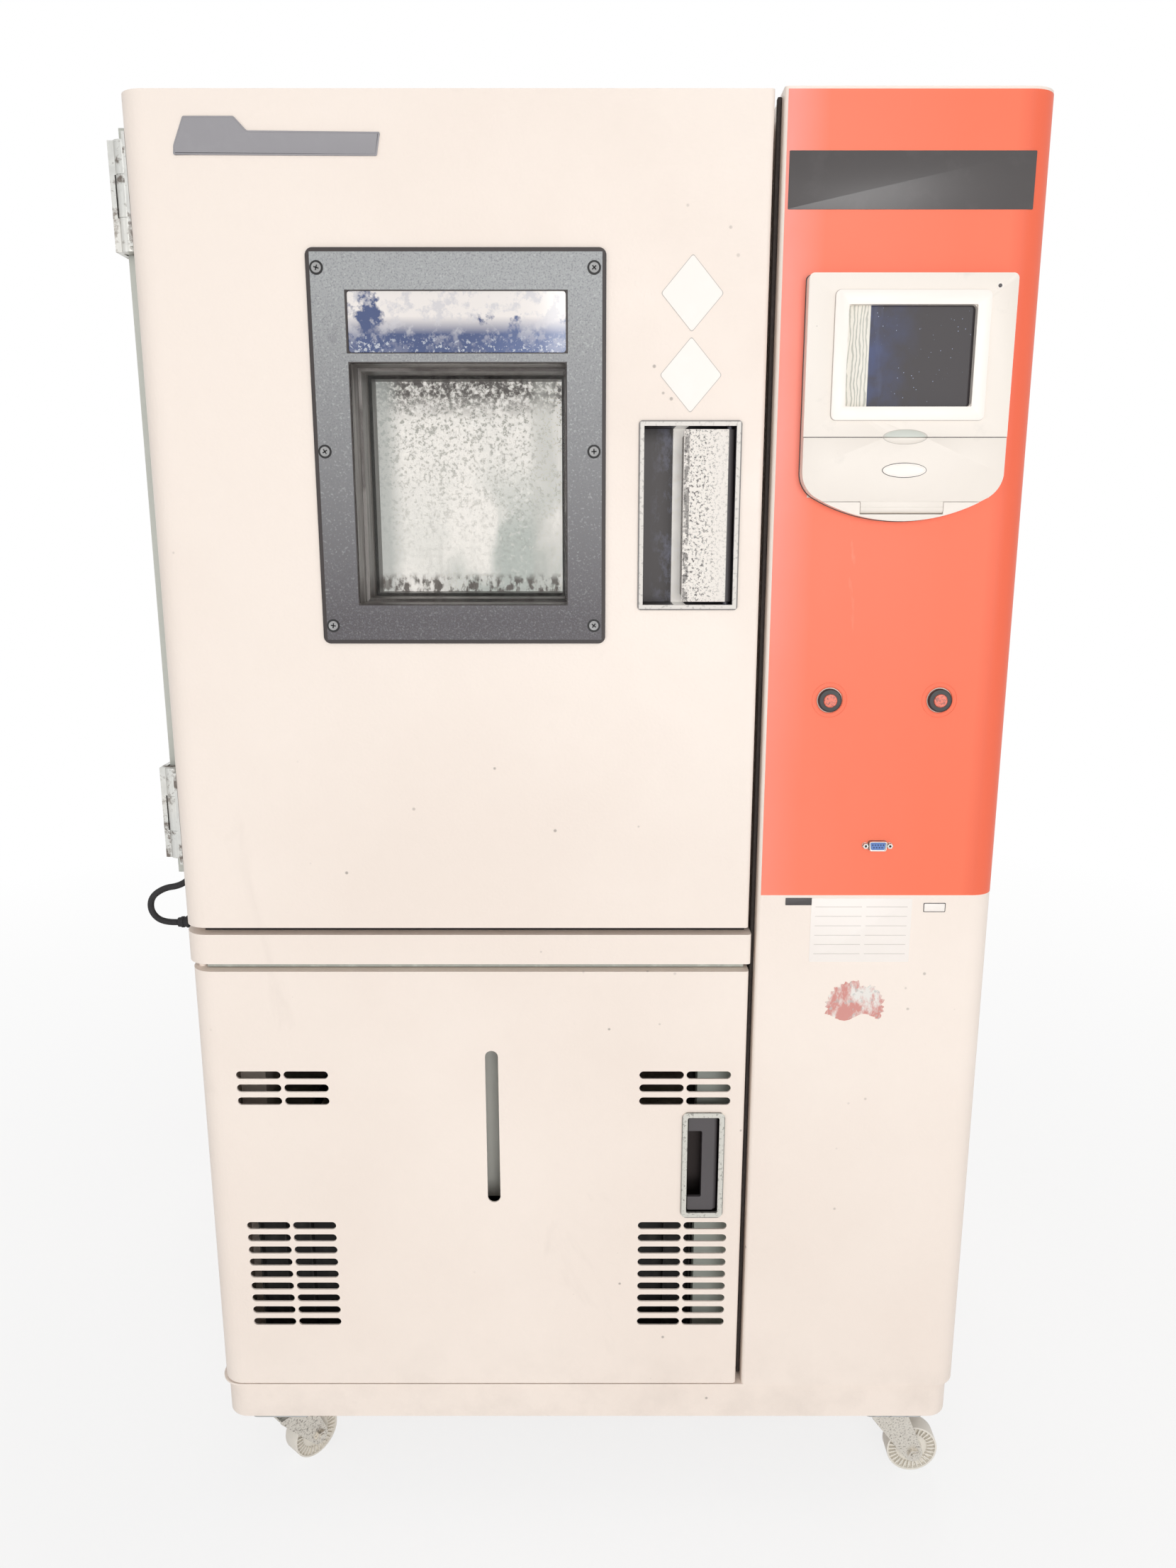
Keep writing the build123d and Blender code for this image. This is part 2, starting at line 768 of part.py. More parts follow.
def condenser_coil():
    """Fin pack on end plates, with the tank's tray above it and its liquid pipe."""
    x1 = coil_x0 + coil_width
    y1 = coil_y0 + coil_depth
    z1 = coil_z0 + coil_height
    core = block(coil_x0, x1, coil_y0 + 14, y1 - 8, coil_z0, z1)
    for index in range(coil_fins + 1):
        x = coil_x0 + 1 + index * (coil_width - 2) / coil_fins
        low = plinth_z + deck_plate if index in (0, coil_fins) else coil_z0
        core += block(x - 1, x + 1, coil_y0, y1, low, z1)
    tray = block(coil_x0, x1, coil_y0, y1, z1, z1 + sheet)
    tray += block(
        tank_x0 - 4, tank_x0 + tank_width + 4, tank_y0, tank_y0 + tank_depth, z1, z1 + sheet,
    )
    gas_x, middle, stub_z = condenser_inlet()
    stub = rod((gas_x, middle, z1), (gas_x, middle, stub_z), pipe_radius)
    outlet_x = coil_x0 + coil_width - 30
    points = [
        (liquid_x, pipe_y, liner_z0 + evaporator_lift), (liquid_x, pipe_y, 600),
        (outlet_x, pipe_y, 600), (outlet_x, middle, 600), (outlet_x, middle, z1 - 10),
    ]
    return core + tray + stub + pipe(points, pipe_radius, pipe_bend)


def fan_place():
    """Plan and height of the condenser fan's axis."""
    return coil_x0 + coil_width / 2, coil_z0 + coil_height / 2


def condenser_shroud():
    """Fan plate with its ring, and the motor on a three-armed bracket behind it."""
    x, z = fan_place()
    y0 = coil_y0 + coil_depth
    ring_y = y0 + sheet + fan_depth + 16
    shroud = plate(coil_x0, coil_x0 + coil_width, coil_z0, coil_z0 + coil_height, y0, y0 + sheet)
    shroud -= rod((x, y0, z), (x, y0 + sheet, z), fan_radius + 3)
    ring = Circle(fan_radius + 5) - Circle(fan_radius + 3)
    shroud += extrude(front_plane(y0) * (Pos(x, z) * ring), amount=y0 - ring_y)
    for angle in (90, 210, 330):
        radians = math.radians(angle)
        end_x = x + (fan_radius + 4) * math.cos(radians)
        end_z = z + (fan_radius + 4) * math.sin(radians)
        shroud += rod((x, ring_y - 5, z), (end_x, ring_y - 5, end_z), 3)
    motor = rod((x, ring_y - 9, z), (x, ring_y + 50, z), 32)
    cap = rod((x, ring_y + 50, z), (x, ring_y + 58, z), 20)
    shaft = rod((x, y0 + 10, z), (x, ring_y, z), 5)
    return shroud + motor + cap + shaft


def condenser_fan():
    """Five-bladed fan whose hub runs on the motor's shaft."""
    x, z = fan_place()
    y0 = coil_y0 + coil_depth + sheet + 4
    hub = Cylinder(24, fan_depth - 2)
    fan = hub
    for index in range(fan_blades):
        root = Plane(origin=(20, 0, 0), x_dir=(0, 1, 0), z_dir=(1, 0, 0))
        tip = Plane(origin=(fan_radius - 1, 0, 0), x_dir=(0, 1, 0), z_dir=(1, 0, 0))
        root_section = root * (Rot(0, 0, 38) * Rectangle(24, 2.4))
        tip_section = tip * (Rot(0, 0, 20) * Rectangle(50, 1.6))
        fan += Rot(0, 0, index * 360 / fan_blades) * loft([root_section, tip_section])
    fan -= Cylinder(5 + run_gap, fan_depth)
    fan = fan & Cylinder(fan_radius, fan_depth)
    return Pos(x, y0 + fan_depth / 2, z) * Rot(90, 0, 0) * fan


def water_tank():
    """Blow-moulded tank behind the sight slot, with a filler neck and cap."""
    z0 = coil_z0 + coil_height + sheet
    z1 = z0 + tank_height
    x1 = tank_x0 + tank_width
    y1 = tank_y0 + tank_depth
    tank = block(tank_x0, x1, tank_y0, y1, z0, z1)
    tank = fillet(tank.edges().filter_by(Axis.Z), 14)
    tank = chamfer(tank.faces().sort_by(Axis.Z)[-1].edges(), 10)
    neck_x = tank_x0 + 56
    neck_y = tank_y0 + 60
    neck = rod((neck_x, neck_y, z1), (neck_x, neck_y, z1 + 12), 24)
    cap = rod((neck_x, neck_y, z1 + 12), (neck_x, neck_y, z1 + 26), 29)
    return tank + neck + cap


def electrical_panel():
    """Mounting plate in the control cabinet with its rails, contactors and supply."""
    x0 = x_control + sheet
    board = block(x0, x0 + sheet, 260, 820, 300, 1240)
    rails = []
    units = []
    for z in (430, 700, 970):
        rails.append(block(x0 + sheet, x0 + sheet + 7, 290, 790, z - 17.5, z + 17.5))
        for index in range(5):
            y = 310 + index * 92
            body = block(x0 + sheet + 7, x0 + 70, y, y + 62, z - 40, z + 40)
            nose = block(x0 + 70, x0 + 84, y + 12, y + 50, z - 22, z + 22)
            units.append(body + nose)
    supply = block(x0 + sheet, x0 + 62, 320, 560, 1090, 1210)
    return board + rails + units + supply


# Controller, buttons and port
def bezel_face(inset=0.0):
    """The controller's outline: small top corners and broad round lower ones."""
    x0 = bezel_x0 + inset
    x1 = bezel_x0 + bezel_width - inset
    z0 = bezel_z0 + inset
    z1 = bezel_z0 + bezel_height - inset
    face = outline(x0, x1, z0, z1)
    upper = face.vertices().sort_by(Axis.Y)[2:]
    face = fillet(upper, max(bezel_top_corner - inset, 1.0))
    lower = face.vertices().sort_by(Axis.Y)[:2]
    return fillet(lower, bezel_foot_corner - inset)


def flap_zone(low, high):
    """The band of the front between two heights."""
    return outline(bezel_x0 - 5, bezel_x0 + bezel_width + 5, low, high)


def screen_block(y0, y1, grow=0.0):
    """The screen's rectangle, grown on all sides."""
    return inset_plate(
        screen_x0, screen_x0 + screen_width, screen_z0, screen_z0 + screen_height, y0, y1,
        -grow, max(grow / 3, 1.0),
    )


def controller_bezel():
    """Moulded front with the screen's opening, the flap's recess and its knuckles."""
    axis_y = bezel_y + flap_axis_depth
    body = extrude(front_plane(bezel_y) * bezel_face(), amount=bezel_y)
    recess = bezel_face() & flap_zone(flap_axis_z + flap_roller, flap_top_z)
    body -= extrude(front_plane(bezel_y) * recess, amount=-(flap_plate + 1.0))
    body -= plate(
        bezel_x0 + 16, bezel_x0 + bezel_width - 16, flap_axis_z + 16, flap_top_z - 8,
        bezel_y + flap_plate + 1, -3, 4,
    )
    body += screen_block(front_y, bezel_y, screen_frame)
    body -= screen_block(front_y, screen_y)
    body -= screen_block(screen_y, 0, 4)
    x0, x1 = flap_roller_x
    body -= block(
        x0 - seat_gap, x1 + seat_gap, bezel_y, axis_y + flap_roller + 1,
        flap_axis_z - flap_roller - 0.6, flap_axis_z + flap_foot,
    )
    for low, high in (
        (x0 - flap_knuckle_width, x0 - seat_gap), (x1 + seat_gap, x1 + flap_knuckle_width),
    ):
        body += rod((low, axis_y, flap_axis_z), (high, axis_y, flap_axis_z), flap_roller)
    body += rod((x0 - 2, axis_y, flap_axis_z), (x1 + 2, axis_y, flap_axis_z), flap_pin)
    chassis = plate(
        bezel_x0 + 10, bezel_x0 + bezel_width - 10, flap_axis_z + 14,
        bezel_z0 + bezel_height - 10, 0, 60, 3,
    )
    return body + chassis


def lcd_screen():
    """The display, held in the moulding behind its raised frame."""
    return screen_block(screen_y, 0, 4)


def controller_flap():
    """Cover below the screen, with a finger dimple and the roller it turns on."""
    axis_y = bezel_y + flap_axis_depth
    face = bezel_face() & flap_zone(flap_axis_z + flap_foot, flap_top_z - 1)
    flap = extrude(front_plane(bezel_y) * face, amount=-flap_plate)
    dimple = Pos(bezel_mid_x, flap_top_z) * Ellipse(dimple_width / 2, dimple_height / 2)
    flap -= extrude(front_plane(bezel_y) * dimple, amount=-1.8)
    x0, x1 = flap_roller_x
    roller = rod((x0, axis_y, flap_axis_z), (x1, axis_y, flap_axis_z), flap_roller)
    web = block(x0, x1, bezel_y, bezel_y + flap_plate, flap_axis_z, flap_axis_z + flap_foot)
    bore = rod((x0, axis_y, flap_axis_z), (x1, axis_y, flap_axis_z), flap_pin + run_gap)
    return flap + roller + web - bore


def button_bezels():
    """Black collars, their threaded barrels and nuts behind the panel."""
    rings = []
    for x in button_x:
        collar = rod((x, -button_proud, button_z), (x, 0, button_z), button_bezel)
        collar = fillet(collar.faces().sort_by(Axis.Y)[0].edges(), 1.5)
        barrel = rod((x, 0, button_z), (x, 34, button_z), button_bezel - 1.7)
        nut = rod((x, sheet, button_z), (x, sheet + 4, button_z), button_bezel + 1)
        bore = rod((x, -button_proud, button_z), (x, 20, button_z), button_lens + run_gap)
        rings.append(collar + barrel + nut - bore)
    return Compound(children=rings)


def push_button(x):
    """A lens on its plunger."""
    lens = rod((x, -button_proud - 1.5, button_z), (x, 14, button_z), button_lens)
    return fillet(lens.faces().sort_by(Axis.Y)[0].edges(), 1.0)


def comm_port():
    """Nine-way socket: flange, D shell, insulator and two jack screws."""
    place = Pos(port_x, port_z)
    flange = extrude(
        front_plane(sheet) * (place * RectangleRounded(31, 12.5, 2)), amount=-1.0,
    )
    shell = extrude(front_plane(-5.5) * (place * comm_outline(18.6, 10.0, 2.2)), amount=-8.5)
    shell -= extrude(front_plane(-5.5) * (place * comm_outline(17.2, 8.6, 1.8)), amount=-5.5)
    core = extrude(front_plane(-4.2) * (place * comm_outline(17.2, 8.6, 1.8)), amount=-14)
    port = flange + shell + core
    for side in (-1, 1):
        x = port_x + side * port_screw_spacing / 2
        hexagon = Pos(x, port_z) * RegularPolygon(2.9, 6)
        port += extrude(front_plane(-4.5) * hexagon, amount=-4.5)
        port += rod((x, -1, port_z), (x, sheet + 1, port_z), 1.5)
    return port


# Left wall port, drain, lead and hinges
def cable_port():
    """Flanged tube through the left wall."""
    outer = cable_port_bore + cable_port_wall
    start = (x_left - port_flange, cable_port_y, cable_port_z)
    end = (liner_x0, cable_port_y, cable_port_z)
    flange = rod(start, (x_left, cable_port_y, cable_port_z), outer + 11)
    return flange + rod(start, end, outer) - rod(start, end, cable_port_bore)


def cable_port_plug():
    """Stopper with a finger rim, which pulls straight out."""
    x = x_left - port_flange
    head = rod(
        (x - 9, cable_port_y, cable_port_z), (x - seat_gap, cable_port_y, cable_port_z),
        cable_port_bore + 5,
    )
    head = fillet(head.faces().sort_by(Axis.X)[0].edges(), 2.5)
    stem = rod(
        (x - 1, cable_port_y, cable_port_z), (x + 60, cable_port_y, cable_port_z),
        cable_port_bore - run_gap,
    )
    return head + stem


def drain_spigot():
    """Drain pipe from the chamber's floor to the hose spigot at the back, with its stop bead."""
    points = [
        (drain_x, pipe_y, liner_z0 - liner_wall), (drain_x, pipe_y, drain_z),
        (drain_x, y_back + drain_length, drain_z),
    ]
    spigot = pipe(points, drain_radius, 24.0, drain_radius - drain_wall)
    stop_y = y_back + drain_length - drain_tip
    start, end = (drain_x, stop_y - 3.5, drain_z), (drain_x, stop_y, drain_z)
    return spigot + (rod(start, end, drain_radius + drain_bead) - rod(start, end, drain_radius - 1))


def hinge_brackets():
    """On the body: cast arms past the lead's channel, outer knuckles and pins."""
    brackets = []
    for z in hinge_z:
        top = z + hinge_height
        arm_x1 = arm_x0 + hinge_arm
        arm = block(arm_x0, arm_x1, hinge_y - hinge_web, body_y + 32, z, top)
        foot = block(arm_x0, x_left, body_y + 4, body_y + 32, z, top)
        hollow = block(arm_x1 + 3, x_left - 4, body_y + 9, body_y + 32, z, top)
        bracket = arm + foot - hollow
        for low, high in ((z, z + hinge_end_knuckle), (top - hinge_end_knuckle, top)):
            bracket += rod((hinge_x, hinge_y, low), (hinge_x, hinge_y, high), hinge_knuckle)
            bracket += block(
                arm_x0, hinge_x, hinge_y - hinge_web, hinge_y + hinge_web, low, high,
            )
        brackets.append(bracket + rod((hinge_x, hinge_y, z), (hinge_x, hinge_y, top), hinge_pin))
    return Compound(children=brackets)


def door_hinge_leaves():
    """On the door: leaves screwed to its edge, each with the middle knuckle."""
    leaves = []
    knuckle = hinge_end_knuckle + seat_gap
    for z in hinge_z:
        top = z + hinge_height
        leaf = block(x_left - hinge_leaf, x_left, 20, channel_y0 - 2, z, top)
        low = z + knuckle
        high = top - knuckle
        leaf += rod((hinge_x, hinge_y, low), (hinge_x, hinge_y, high), hinge_knuckle)
        leaf += block(hinge_x, x_left, hinge_y - hinge_web, hinge_y + hinge_web, low, high)
        leaf -= rod((hinge_x, hinge_y, low), (hinge_x, hinge_y, high), hinge_pin + run_gap)
        leaves.append(leaf)
    return Compound(children=leaves)


def door_cable_channel():
    """Grey channel down the door's hinge edge, closed at its ends."""
    x0 = x_left - channel_width
    y1 = channel_y0 + channel_depth
    channel = block(x0, x_left, channel_y0, y1, channel_z0, channel_z1)
    hollow = block(
        x0 + sheet, x_left, channel_y0 + sheet, y1 - sheet, channel_z0 + 3, channel_z1 - 3,
    )
    return channel - hollow


# Free lead from the door's channel to the front rail
lead_points = (
    (-438.0, 79.0, 739.2),
    (-440.0, 79.5, 727.0),
    (-453.0, 80.5, 718.5),
    (-470.0, 81.0, 716.0),
    (-486.0, 82.0, 705.0),
    (-488.0, 83.0, 687.0),
    (-475.0, 83.0, 674.5),
    (-458.0, 82.0, 675.5),
)
gland_root = (x_left, 82.0, 677.5)


def lead_radii():
    """The largest bend at each corner of the lead's route."""
    points = [Vector(*point) for point in lead_points]
    radii = []
    for before, corner, after in zip(points, points[1:], points[2:]):
        turn = (corner - before).get_angle(after - corner)
        run = min((corner - before).length, (after - corner).length)
        radii.append(0.45 * run / math.tan(math.radians(turn / 2)))
    return radii


def door_lead():
    """The lead's loop: straight runs joined by arcs."""
    radii = lead_radii()
    print("lead radii", [round(radius, 1) for radius in radii])
    path = FilletPolyline(*lead_points, radius=radii)
    section = Plane(origin=path @ 0, z_dir=path % 0) * Circle(lead_diameter / 2)
    lead = sweep(section, path=path)
    area = math.pi * lead_diameter ** 2 / 4
    print("lead length", round(path.length, 1), "volume", round(lead.volume), round(area * path.length))
    return lead


def lead_gland():
    """Flange and ribbed, tapered sleeve where the lead enters the rail."""
    root = Vector(*gland_root)
    tip = Vector(*lead_points[-1])
    along = (tip - root).normalized()
    length = (tip - root).length - 0.8
    sleeve = extrude(Plane(origin=root, z_dir=along) * Circle(7.5), amount=length, taper=4)
    for index in range(4):
        start = 8 + index * 6
        ring = Plane(origin=root + along * start, z_dir=along) * Circle(7.8 - index * 0.5)
        sleeve += extrude(ring, amount=2.5)
    flange = rod((x_left - 4, root.Y, root.Z), (x_left, root.Y, root.Z), 10)
    body = sleeve + flange
    return body & block(x_left - 60, x_left, 40, 120, rail_z0, door_z0)


# Main door
def door_skin():
    """Outer shell of the door, open at the back, with its cut-outs."""
    skin = plan_block(
        x_left, door_x1, 0, main_door_depth - sheet, door_z0, door_z1, corner_radius, fold_radius,
    )
    pocket = plan_block(
        x_left + sheet, door_x1 - sheet, sheet, main_door_depth - sheet, door_z0 + sheet,
        door_z1 - sheet, corner_radius - sheet, fold_radius - sheet,
    )
    skin -= pocket
    window = plate(
        view_x0 - tunnel_wall, view_x0 + view_width + tunnel_wall, view_z0 - tunnel_wall,
        lamp_z0 + lamp_height + sheet, 0, sheet,
    )
    handle = inset_plate(
        handle_x0, handle_x0 + handle_width, handle_z0, handle_z0 + handle_height,
        0, sheet, handle_border - sheet,
    )
    bolt = rod(
        (door_x1 - sheet - 1, bolt_y, bolt_z), (door_x1 + 1, bolt_y, bolt_z),
        bolt_radius + seat_gap,
    )
    return skin - window - handle - bolt


def bolt_case():
    """The latch bolt's guide behind the handle."""
    return block(
        bolt_case_x, door_x1 - sheet, handle_depth, handle_depth + bolt_case_depth,
        bolt_z - 13, bolt_z + 13,
    )


def tunnel_block(y0, y1):
    """The window tunnel's outside."""
    return inset_plate(
        view_x0, view_x0 + view_width, view_z0, view_z0 + view_height, y0, y1, -tunnel_wall,
    )


def lamp_block(y0, y1):
    """The lamp box's outside."""
    return plate(
        view_x0 - sheet, view_x0 + view_width + sheet, lamp_z0 - sheet,
        lamp_z0 + lamp_height + sheet, y0, y1,
    )


def door_core():
    """Foam that fills the door round the window, the lamp and the handle."""
    core = plan_block(
        x_left + sheet, door_x1 - sheet, sheet, main_door_depth - sheet, door_z0 + sheet,
        door_z1 - sheet, corner_radius - sheet, fold_radius - sheet,
    )
    tray = inset_plate(
        handle_x0, handle_x0 + handle_width, handle_z0, handle_z0 + handle_height,
        sheet, handle_depth, handle_border - sheet,
    )
    return core - tray - bolt_case() - tunnel_block(sheet, main_door_depth) - lamp_block(sheet, lamp_depth)


def door_inner_panel():
    """Inner skin with its foam and the tapered plug that enters the chamber's mouth."""
    panel = plate(
        x_left, door_x1, door_z0, door_z1, main_door_depth - sheet, main_door_depth,
    )
    base = outline(
        plug_gap - liner_x1, -liner_x0 - plug_gap, liner_z0 + plug_gap, liner_z1 - plug_gap,
        chamber_corner,
    )
    plug = extrude(
        Plane(origin=(0, main_door_depth, 0), x_dir=(-1, 0, 0), z_dir=(0, 1, 0)) * base,
        amount=plug_depth, taper=plug_taper,
    )
    panel = panel + plug + door_core()
    return panel - tunnel_block(main_door_depth - sheet, main_door_depth + plug_depth)


def door_gasket():
    """Soft ring on the inner skin that meets the opening's frame."""
    y0 = main_door_depth
    y1 = frame_y - seat_gap
    grow = 2.0
    outer = plate(
        liner_x0 - grow - gasket_width, liner_x1 + grow + gasket_width,
        liner_z0 - grow - gasket_width, liner_z1 + grow + gasket_width, y0, y1, 24,
    )
    outer = chamfer(outer.faces().sort_by(Axis.Y)[-1].edges(), 2.5)
    inner = plate(
        liner_x0 - grow, liner_x1 + grow, liner_z0 - grow, liner_z1 + grow, y0, y1, 14,
    )
    return outer - inner


def window_frame():
    """Textured plate screwed over the window and the lamp."""
    frame = plate(
        window_x0, window_x0 + window_width, window_z0, window_z0 + window_height,
        -window_plate, 0, window_corner,
    )
    view = plate(
        view_x0, view_x0 + view_width, view_z0, view_z0 + view_height, -window_plate, 0, view_corner,
    )
    lamp = plate(
        view_x0, view_x0 + view_width, lamp_z0, lamp_z0 + lamp_height, -window_plate, 0,
        view_corner,
    )
    return frame - view - lamp


def window_tunnel():
    """Black spacer frame through the door, stepped for the panes."""
    y1 = main_door_depth + plug_depth
    tunnel = tunnel_block(pane, y1)
    edges = (pane,) + pane_depths + (y1,)
    for index, (y0, y2) in enumerate(zip(edges, edges[1:])):
        tunnel -= inset_plate(
            view_x0, view_x0 + view_width, view_z0, view_z0 + view_height, y0, y2,
            index * pane_step,
        )
    return tunnel


def window_glass():
    """Four panes: one behind the frame and one on each step of the tunnel."""
    x1 = view_x0 + view_width
    z1 = view_z0 + view_height
    panes = [inset_plate(view_x0, x1, view_z0, z1, 0, pane, seat_gap - tunnel_wall)]
    for index, depth in enumerate(pane_depths):
        inset = index * pane_step + seat_gap
        panes.append(inset_plate(view_x0, x1, view_z0, z1, depth - pane, depth, inset))
    return Compound(children=panes)


def lamp_panel():
    """Glass strip in front of the lamp."""
    return inset_plate(
        view_x0, view_x0 + view_width, lamp_z0, lamp_z0 + lamp_height, 1 - window_plate, 0,
        seat_gap, view_corner - seat_gap,
    ) + lamp_block(0, sheet)


def chamber_lamp():
    """Lamp box with its tube between two holders."""
    box = lamp_block(sheet, lamp_depth)
    x1 = view_x0 + view_width
    z1 = lamp_z0 + lamp_height
    box -= plate(view_x0, x1, lamp_z0, z1, sheet, lamp_depth - sheet)
    z = lamp_z0 + lamp_height / 2
    for x in (view_x0, x1 - 22):
        box += block(x, x + 22, lamp_depth - 40, lamp_depth - sheet, z - 12, z + 12)
    return box + rod((view_x0 + 22, lamp_depth - 26, z), (x1 - 22, lamp_depth - 26, z), 9)


def handle_pivot_x():
    """X of the door lever's pin."""
    return handle_x0 + handle_width - handle_border - lever_barrel - 0.6


def door_handle_housing():
    """Bright recess with its border, the lever's pins and the bolt's guide."""
    x1 = handle_x0 + handle_width
    z1 = handle_z0 + handle_height
    border = plate(handle_x0, x1, handle_z0, z1, -sheet, 0, 3.5)
    tray = inset_plate(handle_x0, x1, handle_z0, z1, 0, handle_depth, handle_border - sheet)
    cavity = inset_plate(
        handle_x0, x1, handle_z0, z1, -sheet, handle_depth - sheet, handle_border,
    )
    housing = border + tray - cavity + bolt_case()
    x = handle_pivot_x()
    low = handle_z0 + handle_border
    high = z1 - handle_border
    pins = [
        rod((x, lever_pivot_y, low - 1), (x, lever_pivot_y, low + 8), lever_pin),
        rod((x, lever_pivot_y, high - 8), (x, lever_pivot_y, high + 1), lever_pin),
    ]
    bore = rod(
        (bolt_case_x, bolt_y, bolt_z), (door_x1, bolt_y, bolt_z), bolt_radius + run_gap,
    )
    return housing + pins - bore


def door_lever():
    """Pull lever: plate, inward finger edge and the barrel it turns on."""
    x = handle_pivot_x()
    low = handle_z0 + handle_border + 2.8
    high = handle_z0 + handle_height - handle_border - 2.8
    x0 = x - lever_barrel - lever_width + 2
    front = 3.0
    plate_part = plate(x0, x, low, high, front, front + lever_plate, 2)
    hook = block(x0, x0 + 3, front + 1, front + 24, low + 6, high - 6)
    barrel = rod((x, lever_pivot_y, low), (x, lever_pivot_y, high), lever_barrel)
    web = block(x - lever_barrel - 1, x, front + 1, lever_pivot_y, low, high)
    lever = plate_part + hook + web + barrel
    for start, end in ((low, low + 8), (high - 8, high)):
        lever -= rod((x, lever_pivot_y, start), (x, lever_pivot_y, end), lever_pin + run_gap)
    return lever


def door_latch_bolt():
    """Round-nosed bolt that the lever draws back."""
    tip = x_control - 1 - seat_gap
    start = tip - bolt_length
    bolt = rod((start, bolt_y, bolt_z), (tip, bolt_y, bolt_z), bolt_radius)
    return fillet(bolt.faces().sort_by(Axis.X)[-1].edges(), bolt_radius - 1.5)


# Service door
def service_door():
    """Folded door with its air slots, sight slot, latch opening and pivot holes."""
    x0 = x_left + service_door_inset
    x1 = x_control - service_door_side_gap
    door = plan_block(
        x0, x1, 0, service_door_depth, service_z0, service_z1, corner_radius, fold_radius,
    )
    pocket = plan_block(
        x0 + sheet, x1 - sheet, sheet, service_door_depth, service_z0 + sheet,
        service_z1 - sheet, corner_radius - sheet, fold_radius - sheet,
    )
    cut = slots(slot_columns, upper_slot_z, upper_slot_rows, 0, sheet)
    cut += slots(slot_columns, lower_slot_z, lower_slot_rows, 0, sheet)
    sight = Pos(sight_x, sight_z0 + sight_height / 2) * Rot(0, 0, 90) * SlotOverall(sight_height, sight_width)
    cut.append(extrude(front_plane(0) * sight, amount=-sheet))
    cut.append(
        inset_plate(
            service_latch_x0, service_latch_x0 + service_latch_width, service_latch_z0,
            service_latch_z0 + service_latch_height, 0, sheet, service_latch_border - 1.5,
        )
    )
    pin_x, pin_y = service_pivot
    for z in (service_z0, service_z1 - sheet):
        cut.append(rod((pin_x, pin_y, z), (pin_x, pin_y, z + sheet), service_pin + run_gap))
    return door - pocket - cut


def service_pivot_x():
    """X of the service lever's pin."""
    x1 = service_latch_x0 + service_latch_width - service_latch_border
    return x1 - service_lever_barrel - 0.8


def service_latch_housing():
    """Bright rounded border and black recess, with the lever's pins."""
    x0 = service_latch_x0
    x1 = x0 + service_latch_width
    z0 = service_latch_z0
    z1 = z0 + service_latch_height
    border = plate(x0, x1, z0, z1, -sheet, 0, service_latch_corner)
    tray = inset_plate(x0, x1, z0, z1, 0, service_latch_depth, service_latch_border - 1.5)
    cavity = inset_plate(
        x0, x1, z0, z1, -sheet, service_latch_depth - 1.5, service_latch_border, 2.0,
    )
    x = service_pivot_x()
    low = z0 + service_latch_border
    high = z1 - service_latch_border
    y = service_lever_pivot_y
    pins = [
        rod((x, y, low - 1), (x, y, low + 8), service_lever_pin),
        rod((x, y, high - 8), (x, y, high + 1), service_lever_pin),
    ]
    return border + tray - cavity + pins


def service_latch_lever():
    """Lever open to the left like a stirrup, with its barrel on the right."""
    x = service_pivot_x()
    y = service_lever_pivot_y
    x0 = service_latch_x0 + service_latch_border + 1.5
    low = service_latch_z0 + service_latch_border + 1.8
    high = service_latch_z0 + service_latch_height - service_latch_border - 1.8
    face = plate(x0, x, low, high, 2, 6, 1.5)
    pocket = plate(x0 - 3, x0 + 15, low + 16, high - 16, 2, 6, 2)
    skirt = block(x0 + 15, x0 + 18, 3, 16, low + 12, high - 12)
    barrel = rod((x, y, low), (x, y, high), service_lever_barrel)
    web = block(x - service_lever_barrel - 1, x, 3, y, low, high)
    lever = face - pocket + skirt + web + barrel
    for start, end in ((low, low + 8), (high - 8, high)):
        lever -= rod((x, y, start), (x, y, end), service_lever_pin + run_gap)
    return lever


# Castors
def castor_place(name):
    """Plan place of a kingpin."""
    x = -castor_x if name.endswith("left") else castor_x
    y = castor_inset if name.startswith("front") else y_back - castor_inset
    return x, y


def castor_plates():
    """Four mounting plates with ball races and kingpins."""
    group = []
    for name in castor_turn:
        x, y = castor_place(name)
        top = block(-35, 35, -32, 32, plinth_z - 3, plinth_z)
        top = fillet(top.edges().filter_by(Axis.Z), 8)
        crown_z = plinth_z - 14
        race = extrude(Plane.XY.offset(crown_z + seat_gap) * Circle(15), amount=5, taper=-35)
        neck = rod((0, 0, crown_z + 5), (0, 0, plinth_z - 3), 18)
        pin = rod((0, 0, crown_z - 6), (0, 0, plinth_z), kingpin_radius)
        head = rod((0, 0, crown_z - 6), (0, 0, crown_z - 3 - seat_gap), kingpin_radius + 3)
        group.append(Pos(x, y, 0) * (top + race + neck + pin + head))
    return Compound(children=group)


